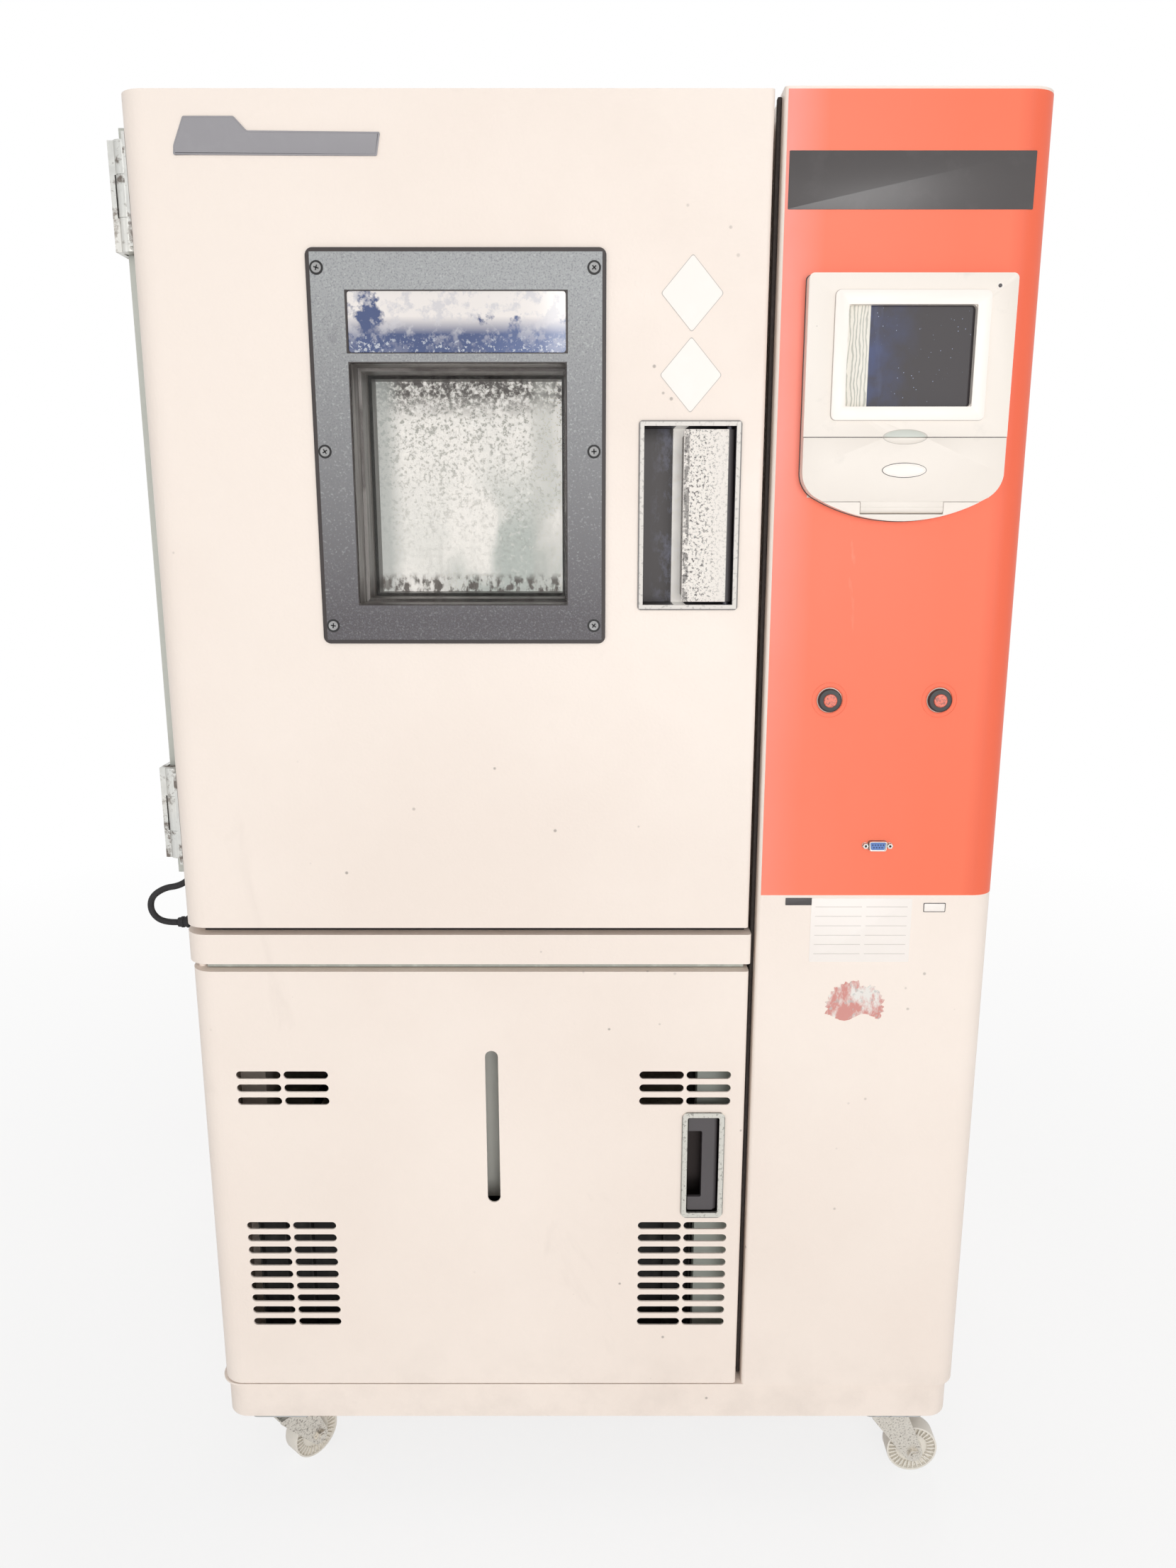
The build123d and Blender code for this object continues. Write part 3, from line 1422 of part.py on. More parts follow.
def castor_fork(name):
    """Pressed fork with tapered legs, the axle and its nuts."""
    crown_z = plinth_z - 14
    eye = Pos(castor_trail, wheel_radius) * Circle(11)
    shoulder = Pos(0, crown_z - 2) * Rectangle(42, 4)
    leg_face = make_hull((eye + shoulder).edges())
    fork = block(-21, 21, -fork_gap - fork_plate, fork_gap + fork_plate, crown_z - 3, crown_z)
    fork = fillet(fork.edges().filter_by(Axis.Z), 6)
    for y in (-fork_gap, fork_gap + fork_plate):
        fork += extrude(front_plane(y) * leg_face, amount=fork_plate)
    outer = fork_gap + fork_plate
    fork += rod((castor_trail, -outer - 5, wheel_radius), (castor_trail, outer + 5, wheel_radius), axle_radius)
    for y in (-outer, outer + 4):
        nut = Pos(castor_trail, wheel_radius) * RegularPolygon(7.4, 6)
        fork += extrude(front_plane(y) * nut, amount=4)
    fork -= rod((0, 0, crown_z - 4), (0, 0, crown_z + 1), kingpin_radius + run_gap)
    x, y = castor_place(name)
    return Pos(x, y, 0) * Rot(0, 0, castor_turn[name]) * fork


def castor_wheel(name):
    """Nylon wheel: rim, web, hub and radial ribs."""
    half = wheel_width / 2
    rim_inner = wheel_radius - 4
    rim = Circle(wheel_radius) - Circle(rim_inner)
    hub = Circle(wheel_hub) - Circle(axle_radius + run_gap)
    web = Circle(rim_inner + 1) - Circle(wheel_hub - 1)
    wheel = extrude(Plane.XY.offset(-half) * rim, amount=wheel_width)
    wheel = chamfer(wheel.edges().filter_by(GeomType.CIRCLE).sort_by(SortBy.RADIUS)[-2:], 2)
    wheel += extrude(Plane.XY.offset(-fork_gap + 1) * hub, amount=2 * fork_gap - 2)
    wheel += extrude(Plane.XY.offset(-2) * web, amount=4)
    for index in range(wheel_ribs):
        rib = block(wheel_hub - 1, rim_inner + 1, -1, 1, 1 - half, half - 1)
        wheel += Rot(0, 0, index * 360 / wheel_ribs) * rib
    x, y = castor_place(name)
    upright = Pos(castor_trail, 0, wheel_radius) * Rot(90, 0, 0)
    return Pos(x, y, 0) * Rot(0, 0, castor_turn[name]) * upright * wheel


os.makedirs("parts", exist_ok=True)
makers = (
    base_frame, left_side_panel, roof_panel, rear_panel,
    partition_wall, control_front_cover, front_rail, chamber_insulation, chamber_liner,
    shelf_rails, shelf, air_baffle, evaporator_coil, heater_element,
    blower_wheel, blower_motor, compressor, condenser_coil, condenser_shroud, condenser_fan,
    water_tank, electrical_panel, controller_bezel, lcd_screen,
    controller_flap, button_bezels, comm_port, cable_port, cable_port_plug, drain_spigot,
    hinge_brackets, door_hinge_leaves, door_cable_channel, door_lead, lead_gland, door_skin,
    door_inner_panel, door_gasket, window_frame, window_tunnel, window_glass,
    lamp_panel, chamber_lamp, door_handle_housing, door_lever, door_latch_bolt, service_door,
    service_latch_housing, service_latch_lever, castor_plates,
)
for maker in makers:
    save(maker.__name__, maker())
save("light_button", push_button(button_x[0]))
save("power_button", push_button(button_x[1]))
for castor in castor_turn:
    save(f"castor_fork_{castor}", castor_fork(castor))
    save(f"castor_wheel_{castor}", castor_wheel(castor))
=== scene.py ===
import math

import bpy
from mathutils import Matrix, Vector


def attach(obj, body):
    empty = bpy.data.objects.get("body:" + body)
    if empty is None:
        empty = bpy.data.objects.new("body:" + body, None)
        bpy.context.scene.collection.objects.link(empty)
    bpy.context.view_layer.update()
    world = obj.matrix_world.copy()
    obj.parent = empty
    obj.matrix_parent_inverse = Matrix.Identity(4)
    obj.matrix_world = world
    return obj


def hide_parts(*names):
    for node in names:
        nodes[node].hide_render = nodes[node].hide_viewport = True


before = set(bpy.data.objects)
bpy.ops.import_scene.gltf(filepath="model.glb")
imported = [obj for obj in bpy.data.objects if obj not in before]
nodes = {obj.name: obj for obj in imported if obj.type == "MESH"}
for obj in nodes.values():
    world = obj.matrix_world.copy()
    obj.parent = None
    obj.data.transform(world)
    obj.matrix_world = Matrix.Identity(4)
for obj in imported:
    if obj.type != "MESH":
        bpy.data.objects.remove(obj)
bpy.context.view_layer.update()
link = bpy.context.scene.collection.objects.link


# Measures of the front that more than one piece shares, in the cabinet's millimetres
film_thick = 0.3
button_xs, button_z = (242.0, 351.8), 939.2
port_x, port_z = 298.0, 788.4
jack_xs = (285.505, 310.495)
controller_x = 298.65
dimple_z = 1191.3
screen_opening = (239.8, 358.0, 1218.4, 1308.0)
flap_badge_x, flap_badge_z = 299.5, 1161.0
castor_x, castor_ys, castor_z, castor_trail = 358, {"front": 38.0, "rear": 942.0}, 30, 30
castor_turns = {"front_left": 48.0, "front_right": 0.0, "rear_left": 100.0, "rear_right": 72.0}


# Places: millimetres from the cabinet's centre line, the front of its doors and the floor
def at(x, y, z):
    return Vector(((x + 13.5) / 1000, (y - 494.0) / 1000, z / 1000))


def colour(red, green, blue):
    """A screen colour from 0 to 255 as Blender's linear values."""
    values = []
    for part in (red, green, blue):
        part /= 255
        values.append(part / 12.92 if part <= 0.04045 else ((part + 0.055) / 1.055) ** 2.4)
    return (*values, 1.0)


def shade(base, factor, lift=0.0):
    """A colour made darker or paler."""
    return (*(min(part * factor + lift, 1) for part in base[:3]), 1.0)


# Finishes
class Graph:
    """Short ways to add nodes to a node tree and to join them."""

    def __init__(self, tree):
        self.tree = tree

    def add(self, kind, inputs=None, **settings):
        node = self.tree.nodes.new(kind)
        for name, value in settings.items():
            setattr(node, name, value)
        for name, value in (inputs or {}).items():
            node.inputs[name].default_value = value
        return node

    def join(self, out, into):
        self.tree.links.new(out, into)

    def math(self, operation, one, other):
        """A sum on a socket and on another socket or a number."""
        node = self.add("ShaderNodeMath", operation=operation)
        self.join(one, node.inputs[0])
        if isinstance(other, (int, float)):
            node.inputs[1].default_value = other
        else:
            self.join(other, node.inputs[1])
        return node.outputs[0]

    def times(self, one, *others):
        for other in others:
            one = self.math("MULTIPLY", one, other)
        return one

    def most(self, one, *others):
        for other in others:
            one = self.math("MAXIMUM", one, other)
        return one

    def length(self, vector):
        node = self.add("ShaderNodeVectorMath", operation="LENGTH")
        self.join(vector, node.inputs[0])
        return node.outputs["Value"]

    def ramp(self, value, low, high, to_low=0.0, to_high=1.0):
        """Two levels with a slope between them."""
        limits = {"From Min": low, "From Max": high, "To Min": to_low, "To Max": to_high}
        node = self.add("ShaderNodeMapRange", limits, clamp=True)
        self.join(value, node.inputs["Value"])
        return node.outputs["Result"]


class Finish(Graph):
    """A Principled material, its colours in screen values, its pattern in object coordinates."""

    def __init__(self, name, base, roughness, metallic=0.0):
        self.material = bpy.data.materials.new(name)
        self.material.use_nodes = True
        super().__init__(self.material.node_tree)
        self.shader = self.tree.nodes["Principled BSDF"]
        self.base = colour(*base)
        self.set(Base_Color=self.base, Roughness=roughness, Metallic=metallic)
        self.tinted = None
        self.place = self.add("ShaderNodeTexCoord").outputs["Object"]

    def set(self, **values):
        for name, value in values.items():
            self.shader.inputs[name.replace("_", " ")].default_value = value

    def pattern(self, kind, inputs, output, stretch=(1, 1, 1)):
        """A texture, stretched where its marks are longer one way."""
        mapping = self.add("ShaderNodeMapping", {"Scale": stretch})
        self.join(self.place, mapping.inputs["Vector"])
        node = self.add(kind, inputs)
        self.join(mapping.outputs["Vector"], node.inputs["Vector"])
        return node.outputs[output]

    def noise(self, scale, detail=3.0, roughness=0.5, stretch=(1, 1, 1), distortion=0.0):
        return self.pattern("ShaderNodeTexNoise", {
            "Scale": scale, "Detail": detail, "Roughness": roughness, "Distortion": distortion,
        }, "Fac", stretch)

    def cells(self, scale):
        return self.pattern("ShaderNodeTexVoronoi", {"Scale": scale}, "Distance")

    def waves(self, scale, distortion, stretch):
        inputs = {"Scale": scale, "Distortion": distortion, "Detail": 3}
        return self.pattern("ShaderNodeTexWave", inputs, "Fac", stretch)

    def oval(self, x, z, wide, high):
        """How far out a point lies: 1 on the rim of an oval seen from the front."""
        centre = at(x, 0, z)
        moved = self.place
        for operation, vector in (
            ("SUBTRACT", (centre.x, 0.0, centre.z)), ("MULTIPLY", (2000 / wide, 0.0, 2000 / high)),
        ):
            node = self.add("ShaderNodeVectorMath", {1: vector}, operation=operation)
            self.join(moved, node.inputs[0])
            moved = node.outputs["Vector"]
        return self.length(moved)

    def along(self, axis):
        """The place along X, Y or Z in metres."""
        split = self.add("ShaderNodeSeparateXYZ")
        self.join(self.place, split.inputs[0])
        return split.outputs[axis]

    def fade(self, axis, first, last, low=0.0, high=1.0):
        """A slope along X, Y or Z between two places in metres."""
        return self.ramp(self.along(axis), first, last, low, high)

    def fade_mm(self, axis, first, last, low=0.0, high=1.0):
        """The same between two places in the cabinet's millimetres."""
        first, last = (getattr(at(*[place] * 3), axis.lower()) for place in (first, last))
        return self.fade(axis, first, last, low, high)

    def band(self, x0, x1):
        """1 between two places from left to right in millimetres, and 0 outside them."""
        soft = 0.0004
        low, high, value = at(x0, 0, 0).x, at(x1, 0, 0).x, self.along("X")
        return self.times(
            self.ramp(value, low - soft, low + soft),
            self.ramp(value, high - soft, high + soft, 1.0, 0.0),
        )

    def beyond(self, x0, x1, z0, z1):
        """Metres that a place lies outside a rectangle seen from the front, below 0 inside it."""
        low, high = at(x0, 0, z0), at(x1, 0, z1)
        over = []
        for axis, first, last in (("X", low.x, high.x), ("Z", low.z, high.z)):
            offset = self.math("SUBTRACT", self.along(axis), (first + last) / 2)
            offset = self.math("ABSOLUTE", offset, 0)
            over.append(self.math("SUBTRACT", offset, (last - first) / 2))
        return self.most(*over)

    def tint(self, amount, *towards):
        """Mix in a second colour, three screen values or a ready one, where amount is high."""
        towards = colour(*towards) if len(towards) == 3 else towards[0]
        node = self.add("ShaderNodeMix", {6: self.base, 7: towards}, data_type="RGBA")
        self.join(amount, node.inputs["Factor"])
        if self.tinted is not None:
            self.join(self.tinted, node.inputs[6])
        self.tinted = node.outputs[2]
        self.join(self.tinted, self.shader.inputs["Base Color"])

    def gloss(self, value, low, high, rough_low, rough_high):
        rough = self.ramp(value, low, high, rough_low, rough_high)
        self.join(rough, self.shader.inputs["Roughness"])

    def glow(self, strength):
        """Light of the finish's own colour, for a place that the lamps don't reach."""
        self.join(self.tinted, self.shader.inputs["Emission Color"])
        self.join(strength, self.shader.inputs["Emission Strength"])

    def relief(self, height, strength, depth):
        node = self.add("ShaderNodeBump", {"Strength": strength, "Distance": depth})
        self.join(height, node.inputs["Height"])
        self.join(node.outputs["Normal"], self.shader.inputs["Normal"])


def cream_paint():
    """Textured cream enamel with faint mottling, rubbed patches and small marks."""
    paint = Finish("cream_paint", (247, 235, 225), 0.45)
    paint.tint(paint.ramp(paint.noise(2.6, 4), 0.42, 0.66, 0.0, 0.55), 238, 224, 213)
    smear = paint.noise(7, 6, 0.6, (1.0, 1.0, 0.45), 0.8)
    paint.tint(paint.ramp(smear, 0.66, 0.78, 0.0, 0.22), 196, 184, 174)
    speck = paint.cells(34)
    there = paint.ramp(paint.noise(5, 2), 0.52, 0.6)
    marked = paint.times(paint.ramp(speck, 0.035, 0.07, 1.0, 0.0), there)
    paint.tint(paint.times(marked, 0.55), 96, 88, 84)
    foot = paint.fade("Z", 0.10, 0.22, 1.0, 0.0)
    grime = paint.times(foot, paint.ramp(paint.noise(16, 5, 0.6), 0.45, 0.75))
    paint.tint(paint.times(grime, 0.16), 150, 140, 131)
    paint.gloss(paint.noise(9, 4), 0.3, 0.7, 0.38, 0.56)
    paint.relief(paint.noise(330, 2, 0.5), 0.28, 0.0008)
    return paint


def orange_film():
    """Orange film: paler to the left and high up, with fine creases and a darker right edge painted
    as shade.
    """
    film = Finish("orange_film", (252, 124, 93), 0.4)
    across = film.fade("X", 0.20, 0.36, 1.0, 0.0)
    soft = film.noise(3.2, 4, 0.55, (1.0, 1.0, 0.55), 0.5)
    film.tint(film.times(across, film.ramp(soft, 0.35, 0.65, 0.3, 0.9)), 252, 140, 114)
    left = film.fade("X", 0.198, 0.232, 1.0, 0.0)
    top = film.fade("Z", 0.86, 1.20, 0.3, 1.0)
    cloud = film.ramp(film.noise(11, 4), 0.2, 0.7, 0.6, 0.95)
    film.tint(film.times(left, top, cloud), 250, 158, 146)
    lines = film.noise(26, 6, 0.62, (1.0, 1.0, 0.12), 1.2)
    film.tint(film.ramp(lines, 0.68, 0.74, 0.0, 0.35), 255, 176, 154)
    # painted shade: darker towards the rounded right-hand corner
    edge = film.fade("X", 0.401, 0.414, 0.0, 0.35)
    film.tint(edge, 226, 92, 64)
    film.relief(film.noise(15, 4, 0.5, (1, 1, 0.4)), 0.2, 0.002)
    film.set(Specular_IOR_Level=0.22)
    return film


def textured_grey():
    """Grey crackle enamel, darker low down, with a black rim and black edges round its openings."""
    paint = Finish("window_enamel", (162, 164, 165), 0.5, 0.1)
    paint.tint(paint.fade("Z", 1.02, 1.33, 0.95, 0.0), 78, 73, 77)
    grain = paint.noise(620, 3, 0.6)
    paint.tint(paint.ramp(grain, 0.5, 0.64, 0.0, 0.55), 112, 113, 118)
    high = paint.fade("Z", 1.02, 1.3, 0.3, 1.0)
    pale = paint.times(paint.ramp(paint.noise(480, 2), 0.58, 0.7, 0.0, 0.6), high)
    paint.tint(pale, 184, 187, 186)
    smudge = paint.ramp(paint.noise(24, 5, 0.6), 0.64, 0.72, 0.0, 0.35)
    paint.tint(smudge, 110, 110, 116)
    dark = colour(54, 47, 46)
    paint.tint(paint.ramp(paint.beyond(-256.2, 13.7, 999.8, 1355.7), -0.0002, 0.0003), dark)
    for x0, x1, z0, z1 in ((-223.4, -20.0, 1034.0, 1258.8), (-224.4, -19.0, 1267.8, 1322.2)):
        paint.tint(paint.ramp(paint.beyond(x0, x1, z0, z1), 0.0006, 0.0010, 1.0, 0.0), dark)
    paint.relief(grain, 0.3, 0.0006)
    return paint


def recess_steel():
    """Bright border with painted shade along its outer edge, round a deep recess painted dark as
    shade but for one strip painted as lit, which also glows.
    """
    metal = Finish("handle_steel", (212, 207, 201), 0.45, 0.1)
    lines = metal.noise(700, 2, 0.6, (1, 1, 0.02))
    metal.tint(metal.ramp(metal.noise(260, 4), 0.55, 0.62, 0.0, 0.5), 150, 146, 142)
    # painted shade along the border's outer edge
    rim = metal.beyond(50.2, 145.8, 1029.9, 1206.1)
    metal.tint(metal.ramp(rim, -0.0002, 0.0002, 0.0, 0.85), 84, 80, 80)
    # painted shade: everything deeper than the border is darkened
    inside = metal.fade_mm("Y", 0.6, 1.6)
    metal.tint(inside, 58, 52, 52)
    bloom = metal.times(metal.ramp(metal.noise(90, 6, 0.7, (1, 1, 0.6)), 0.46, 0.62), inside)
    metal.tint(metal.times(bloom, metal.fade_mm("X", 62, 84, 0.0, 0.7)), 120, 122, 142)
    # painted light: one strip in the recess is paler and glows
    strip = metal.times(inside, metal.band(84.6, 96.6))
    uneven = metal.ramp(metal.noise(60, 4), 0.3, 0.6, 0.8, 1.0)
    metal.tint(metal.times(strip, uneven), 244, 240, 234)
    metal.glow(metal.times(strip, 0.28))
    metal.relief(lines, 0.06, 0.0003)
    return metal


def latch_steel():
    """Speckled bright border, with painted shade along its outer edge, round a tray painted dark as
    shade.
    """
    metal = Finish("latch_steel", (214, 212, 204), 0.35, 0.8)
    pits = metal.noise(240, 5, 0.7)
    metal.tint(metal.ramp(pits, 0.54, 0.62, 0.0, 0.7), 128, 126, 120)
    # painted shade along the border's outer edge
    rim = metal.beyond(103.9, 148.7, 360.2, 486.1)
    metal.tint(metal.ramp(rim, -0.0002, 0.0002, 0.0, 0.7), 104, 102, 98)
    # painted shade: everything deeper than the border is darkened
    inside = metal.fade_mm("Y", 0.6, 1.2)
    metal.tint(inside, 50, 44, 43)
    metal.relief(pits, 0.2, 0.0004)
    return metal


def speckled_plate():
    """Bright lever plate sprinkled with small dark spots, fewer towards its right edge."""
    metal = Finish("speckled_plate", (240, 234, 227), 0.6, 0.0)
    spots = metal.noise(330, 4, 0.75)
    many = metal.fade_mm("X", 112, 128, 1.0, 0.3)
    metal.tint(metal.times(metal.ramp(spots, 0.535, 0.575), many), 112, 108, 106)
    rings = metal.ramp(metal.cells(210), 0.1, 0.2, 1.0, 0.0)
    metal.tint(metal.times(rings, many), 188, 188, 184)
    edge = metal.times(metal.band(93, 98), metal.ramp(metal.noise(160, 4), 0.4, 0.55))
    metal.tint(metal.times(edge, 0.7), 70, 66, 66)
    metal.tint(metal.fade_mm("X", 134.8, 135.4), 74, 70, 72)
    metal.relief(spots, 0.12, 0.0004)
    return metal


def brushed(name, base, roughness, stretch):
    """Brushed metal, its lines along the axis that is stretched."""
    metal = Finish(name, base, roughness, 1.0)
    lines = metal.noise(700, 2, 0.6, stretch)
    metal.gloss(lines, 0.3, 0.7, roughness * 0.75, min(roughness * 1.35, 1.0))
    metal.relief(lines, 0.06, 0.0003)
    return metal


def speckled_zinc(name, base, dark, scale):
    """Plated steel that has bloomed and pitted."""
    metal = Finish(name, base, 0.42, 0.85)
    pits = metal.noise(scale, 5, 0.7)
    metal.tint(metal.ramp(pits, 0.52, 0.62, 0.0, 0.85), *dark)
    metal.tint(metal.ramp(metal.noise(scale * 0.2, 3), 0.55, 0.75, 0.0, 0.5), 226, 222, 214)
    metal.gloss(pits, 0.4, 0.65, 0.28, 0.7)
    metal.relief(pits, 0.3, 0.0004)
    return metal


def moulded(name, base, roughness, soil=0.15, grain=600.0):
    """Moulded plastic with a fine grain and a little soiling."""
    plastic = Finish(name, base, roughness)
    dull = shade(plastic.base, 0.72)
    plastic.tint(plastic.ramp(plastic.noise(13, 5, 0.6), 0.45, 0.75, 0.0, soil), dull)
    plastic.gloss(plastic.noise(30, 3), 0.3, 0.7, roughness * 0.85, min(roughness * 1.15, 1))
    plastic.relief(plastic.noise(grain, 2), 0.08, 0.0003)
    return plastic


def soft_rubber(name, base):
    rubber = Finish(name, base, 0.75)
    dust = shade(rubber.base, 1.6, 0.02)
    rubber.tint(rubber.ramp(rubber.noise(90, 5, 0.6), 0.5, 0.75, 0.0, 0.5), dust)
    rubber.relief(rubber.noise(700, 2), 0.15, 0.0003)
    return rubber


def foam_finish():
    foam = Finish("rigid_foam", (226, 206, 150), 0.9)
    foam.tint(foam.ramp(foam.noise(40, 4), 0.4, 0.7, 0.0, 0.5), 206, 182, 120)
    foam.relief(foam.cells(300), 0.5, 0.001)
    return foam


def window_panes():
    """Clear panes, the inner one clouded with dew (droplets, pale and grey-green patches, runs) and
    glowing as painted light.
    """
    glass = Finish("window_panes", (252, 248, 242), 0.06)
    inner = glass.fade("Y", -0.3935, -0.3930)
    patch = glass.ramp(glass.noise(8.5, 4, 0.55, (1, 1, 0.75), 0.9), 0.46, 0.56)
    low = glass.fade("Z", 1.10, 1.18, 1.0, 0.1)
    rightward = glass.fade_mm("X", -150, -120, 0.25, 1.0)
    glass.tint(glass.times(patch, low, rightward), 196, 201, 195)
    drops = glass.noise(300, 3, 0.65)
    wet = glass.fade("Z", 1.07, 1.21, 0.2, 1.0)
    dark = glass.times(glass.ramp(drops, 0.5, 0.6), glass.times(wet, 0.85))
    glass.tint(dark, 150, 152, 145)
    bright = glass.ramp(glass.noise(200, 3, 0.6), 0.58, 0.64)
    glass.tint(glass.times(bright, wet), 255, 252, 246)
    top = glass.ramp(glass.noise(210, 3, 0.7), 0.38, 0.56)
    glass.tint(glass.times(glass.fade("Z", 1.214, 1.240), top), 92, 88, 86)
    glass.tint(glass.fade_mm("X", -208, -192, 0.75, 0.0), 176, 180, 176)
    # down the right side, and at the foot
    for place, amount, towards in (
        (glass.fade_mm("X", -62, -52, 0.0, 0.7),
         glass.ramp(glass.noise(22, 4, 0.6, (1, 1, 0.3)), 0.4, 0.6), (206, 206, 200)),
        (glass.fade("Z", 1.052, 1.060, 1.0, 0.0),
         glass.ramp(glass.noise(120, 4, 0.6, (1, 1, 0.6)), 0.46, 0.56), (104, 98, 94)),
        (glass.fade("Z", 1.05, 1.10, 1.0, 0.0),
         glass.ramp(glass.noise(110, 4, 0.6, (1, 1, 0.14)), 0.54, 0.64, 0.0, 0.5), (190, 190, 184)),
    ):
        glass.tint(glass.times(place, amount), *towards)
    glass.gloss(inner, 0, 1, 0.03, 0.4)
    glass.join(glass.ramp(inner, 0, 1, 0.02, 0.97), glass.shader.inputs["Alpha"])
    # painted light: the inner pane glows, to brighten it deep in the tunnel
    glass.glow(glass.times(inner, 0.85))
    glass.relief(glass.times(drops, inner), 0.5, 0.0015)
    return glass


def tunnel_finish():
    """Dark brown walls with fine pale and dark lines that run round them."""
    walls = Finish("tunnel_walls", (96, 88, 85), 0.35)
    round_it = (0.03, 1, 0.03)
    pale, dark = walls.noise(420, 2, 0.5, round_it), walls.noise(380, 2, 0.5, round_it)
    walls.tint(walls.ramp(pale, 0.55, 0.62, 0.0, 0.7), 168, 162, 158)
    walls.tint(walls.ramp(dark, 0.56, 0.64, 0.0, 0.8), 48, 40, 38)
    walls.tint(walls.ramp(walls.noise(30, 5), 0.5, 0.7, 0.0, 0.4), 132, 126, 122)
    return walls


def lamp_glass():
    """Dark blue coated glass with pale bloom and fine droplets."""
    glass = Finish("lamp_glass", (64, 80, 124), 0.12)
    glass.tint(glass.ramp(glass.noise(7, 3), 0.42, 0.6, 0.0, 0.8), 92, 110, 156)
    for amount, place, towards in (
        (glass.ramp(glass.noise(24, 6, 0.65), 0.40, 0.46),
         glass.fade("Z", 1.284, 1.300), (236, 230, 226)),
        (glass.ramp(glass.noise(70, 5, 0.7), 0.5, 0.6, 0.0, 0.8),
         glass.fade("Z", 1.272, 1.296, 0.2, 1.0), (206, 204, 208)),
        (glass.ramp(glass.noise(330, 3, 0.6), 0.56, 0.62, 0.0, 0.8),
         glass.fade("Z", 1.276, 1.286, 1.0, 0.0), (206, 210, 218)),
    ):
        glass.tint(glass.times(amount, place), *towards)
    glass.set(Coat_Weight=0.5, Coat_Roughness=0.05)
    return glass


def display_glass():
    """Unlit display with dust, droplets and a rippled film strip along its left edge."""
    glass = Finish("display_glass", (66, 62, 64), 0.3)
    glass.set(Specular_IOR_Level=0.12)
    blue = glass.fade_mm("X", 262, 310, 0.75, 0.0)
    glass.tint(glass.times(blue, glass.ramp(glass.noise(36, 5), 0.35, 0.65)), 72, 84, 128)
    streaks = glass.ramp(glass.noise(24, 5, 0.6, (1, 1, 0.2)), 0.54, 0.7)
    glass.tint(glass.times(streaks, blue), 104, 112, 146)
    dust, there = glass.ramp(glass.cells(230), 0.07, 0.11, 1.0, 0.0), glass.noise(20, 2)
    glass.tint(glass.times(dust, glass.ramp(there, 0.48, 0.58), 0.75), 178, 190, 222)
    strip = glass.fade_mm("X", 261.2, 261.8, 1.0, 0.0)
    glass.tint(strip, 240, 236, 226)
    lines = glass.waves(95, 9, (1.0, 1.0, 0.35))
    glass.tint(glass.times(strip, glass.ramp(lines, 0.62, 0.8, 0.0, 0.6)), 160, 162, 154)
    glass.gloss(strip, 0, 1, 0.12, 0.5)
    return glass


def moulding_finish():
    """Cream moulding: painted shade in the upper half of the finger dimple and round its rim, with
    small marks.
    """
    skin = Finish("controller_white", (240, 232, 223), 0.45)
    dimple = skin.oval(controller_x, dimple_z, 41.5, 13.6)
    inside = skin.ramp(dimple, 0.9, 1.0, 1.0, 0.0)
    # painted shade in the upper half of the dimple, which faces down
    upper = skin.fade_mm("Z", 1190.9, 1191.4)
    skin.tint(skin.times(inside, upper), 206, 210, 202)
    # painted shade round the dimple's rim
    rim = skin.times(skin.ramp(dimple, 0.93, 0.99), skin.ramp(dimple, 1.0, 1.04, 1.0, 0.0))
    skin.tint(skin.times(rim, 0.45), 150, 148, 142)
    skin.tint(skin.ramp(skin.noise(34, 5, 0.6), 0.62, 0.74, 0.0, 0.3), 214, 208, 200)
    marks, there = skin.ramp(skin.cells(60), 0.03, 0.05, 1.0, 0.0), skin.noise(14, 2)
    skin.tint(skin.times(marks, skin.ramp(there, 0.55, 0.6)), 120, 112, 108)
    skin.relief(skin.noise(420, 2), 0.08, 0.0004)
    return skin


def lens_finish():
    """Orange lens with dark pitting in its middle."""
    lens = Finish("orange_lens", (232, 108, 80), 0.2)
    lens.tint(lens.ramp(lens.noise(420, 4, 0.7), 0.5, 0.6, 0.0, 0.75), 110, 52, 46)
    lens.set(Coat_Weight=0.4, Coat_Roughness=0.08)
    return lens


def fin_finish():
    """Aluminium fins under years of dust."""
    fins = Finish("dusty_fins", (62, 61, 60), 0.8, 0.3)
    fins.tint(fins.ramp(fins.noise(60, 4), 0.5, 0.7, 0.0, 0.5), 92, 90, 86)
    fins.relief(fins.noise(500, 2), 0.1, 0.0004)
    return fins


def painted_can():
    """Painted can of a motor or a compressor with a little bloom."""
    metal = Finish("black_can", (38, 38, 40), 0.35, 0.6)
    metal.tint(metal.ramp(metal.noise(50, 4), 0.5, 0.7, 0.0, 0.5), shade(metal.base, 0.5))
    return metal


def faded_remnant():
    """Torn sticker: pale paper with patches of its red face left."""
    paper = Finish("sticker_remnant", (236, 232, 226), 0.8)
    paper.tint(paper.ramp(paper.noise(70, 5, 0.65, (1, 1, 0.5)), 0.42, 0.55), 214, 150, 142)
    paper.tint(paper.ramp(paper.noise(160, 3), 0.58, 0.66, 0.0, 0.7), 196, 196, 192)
    paper.relief(paper.noise(150, 4), 0.5, 0.0005)
    return paper


def printed(name, base, roughness=0.4, soil=0.2):
    """A bare sticker or plate face with faint rubbing."""
    face = Finish(name, base, roughness)
    rub = shade(face.base, 1.25, 0.04)
    face.tint(face.ramp(face.noise(28, 6, 0.65), 0.52, 0.74, 0.0, soil), rub)
    dull = shade(face.base, 0.8)
    face.tint(face.ramp(face.noise(9, 3), 0.5, 0.8, 0.0, soil), dull)
    face.relief(face.noise(300, 2), 0.05, 0.0002)
    return face


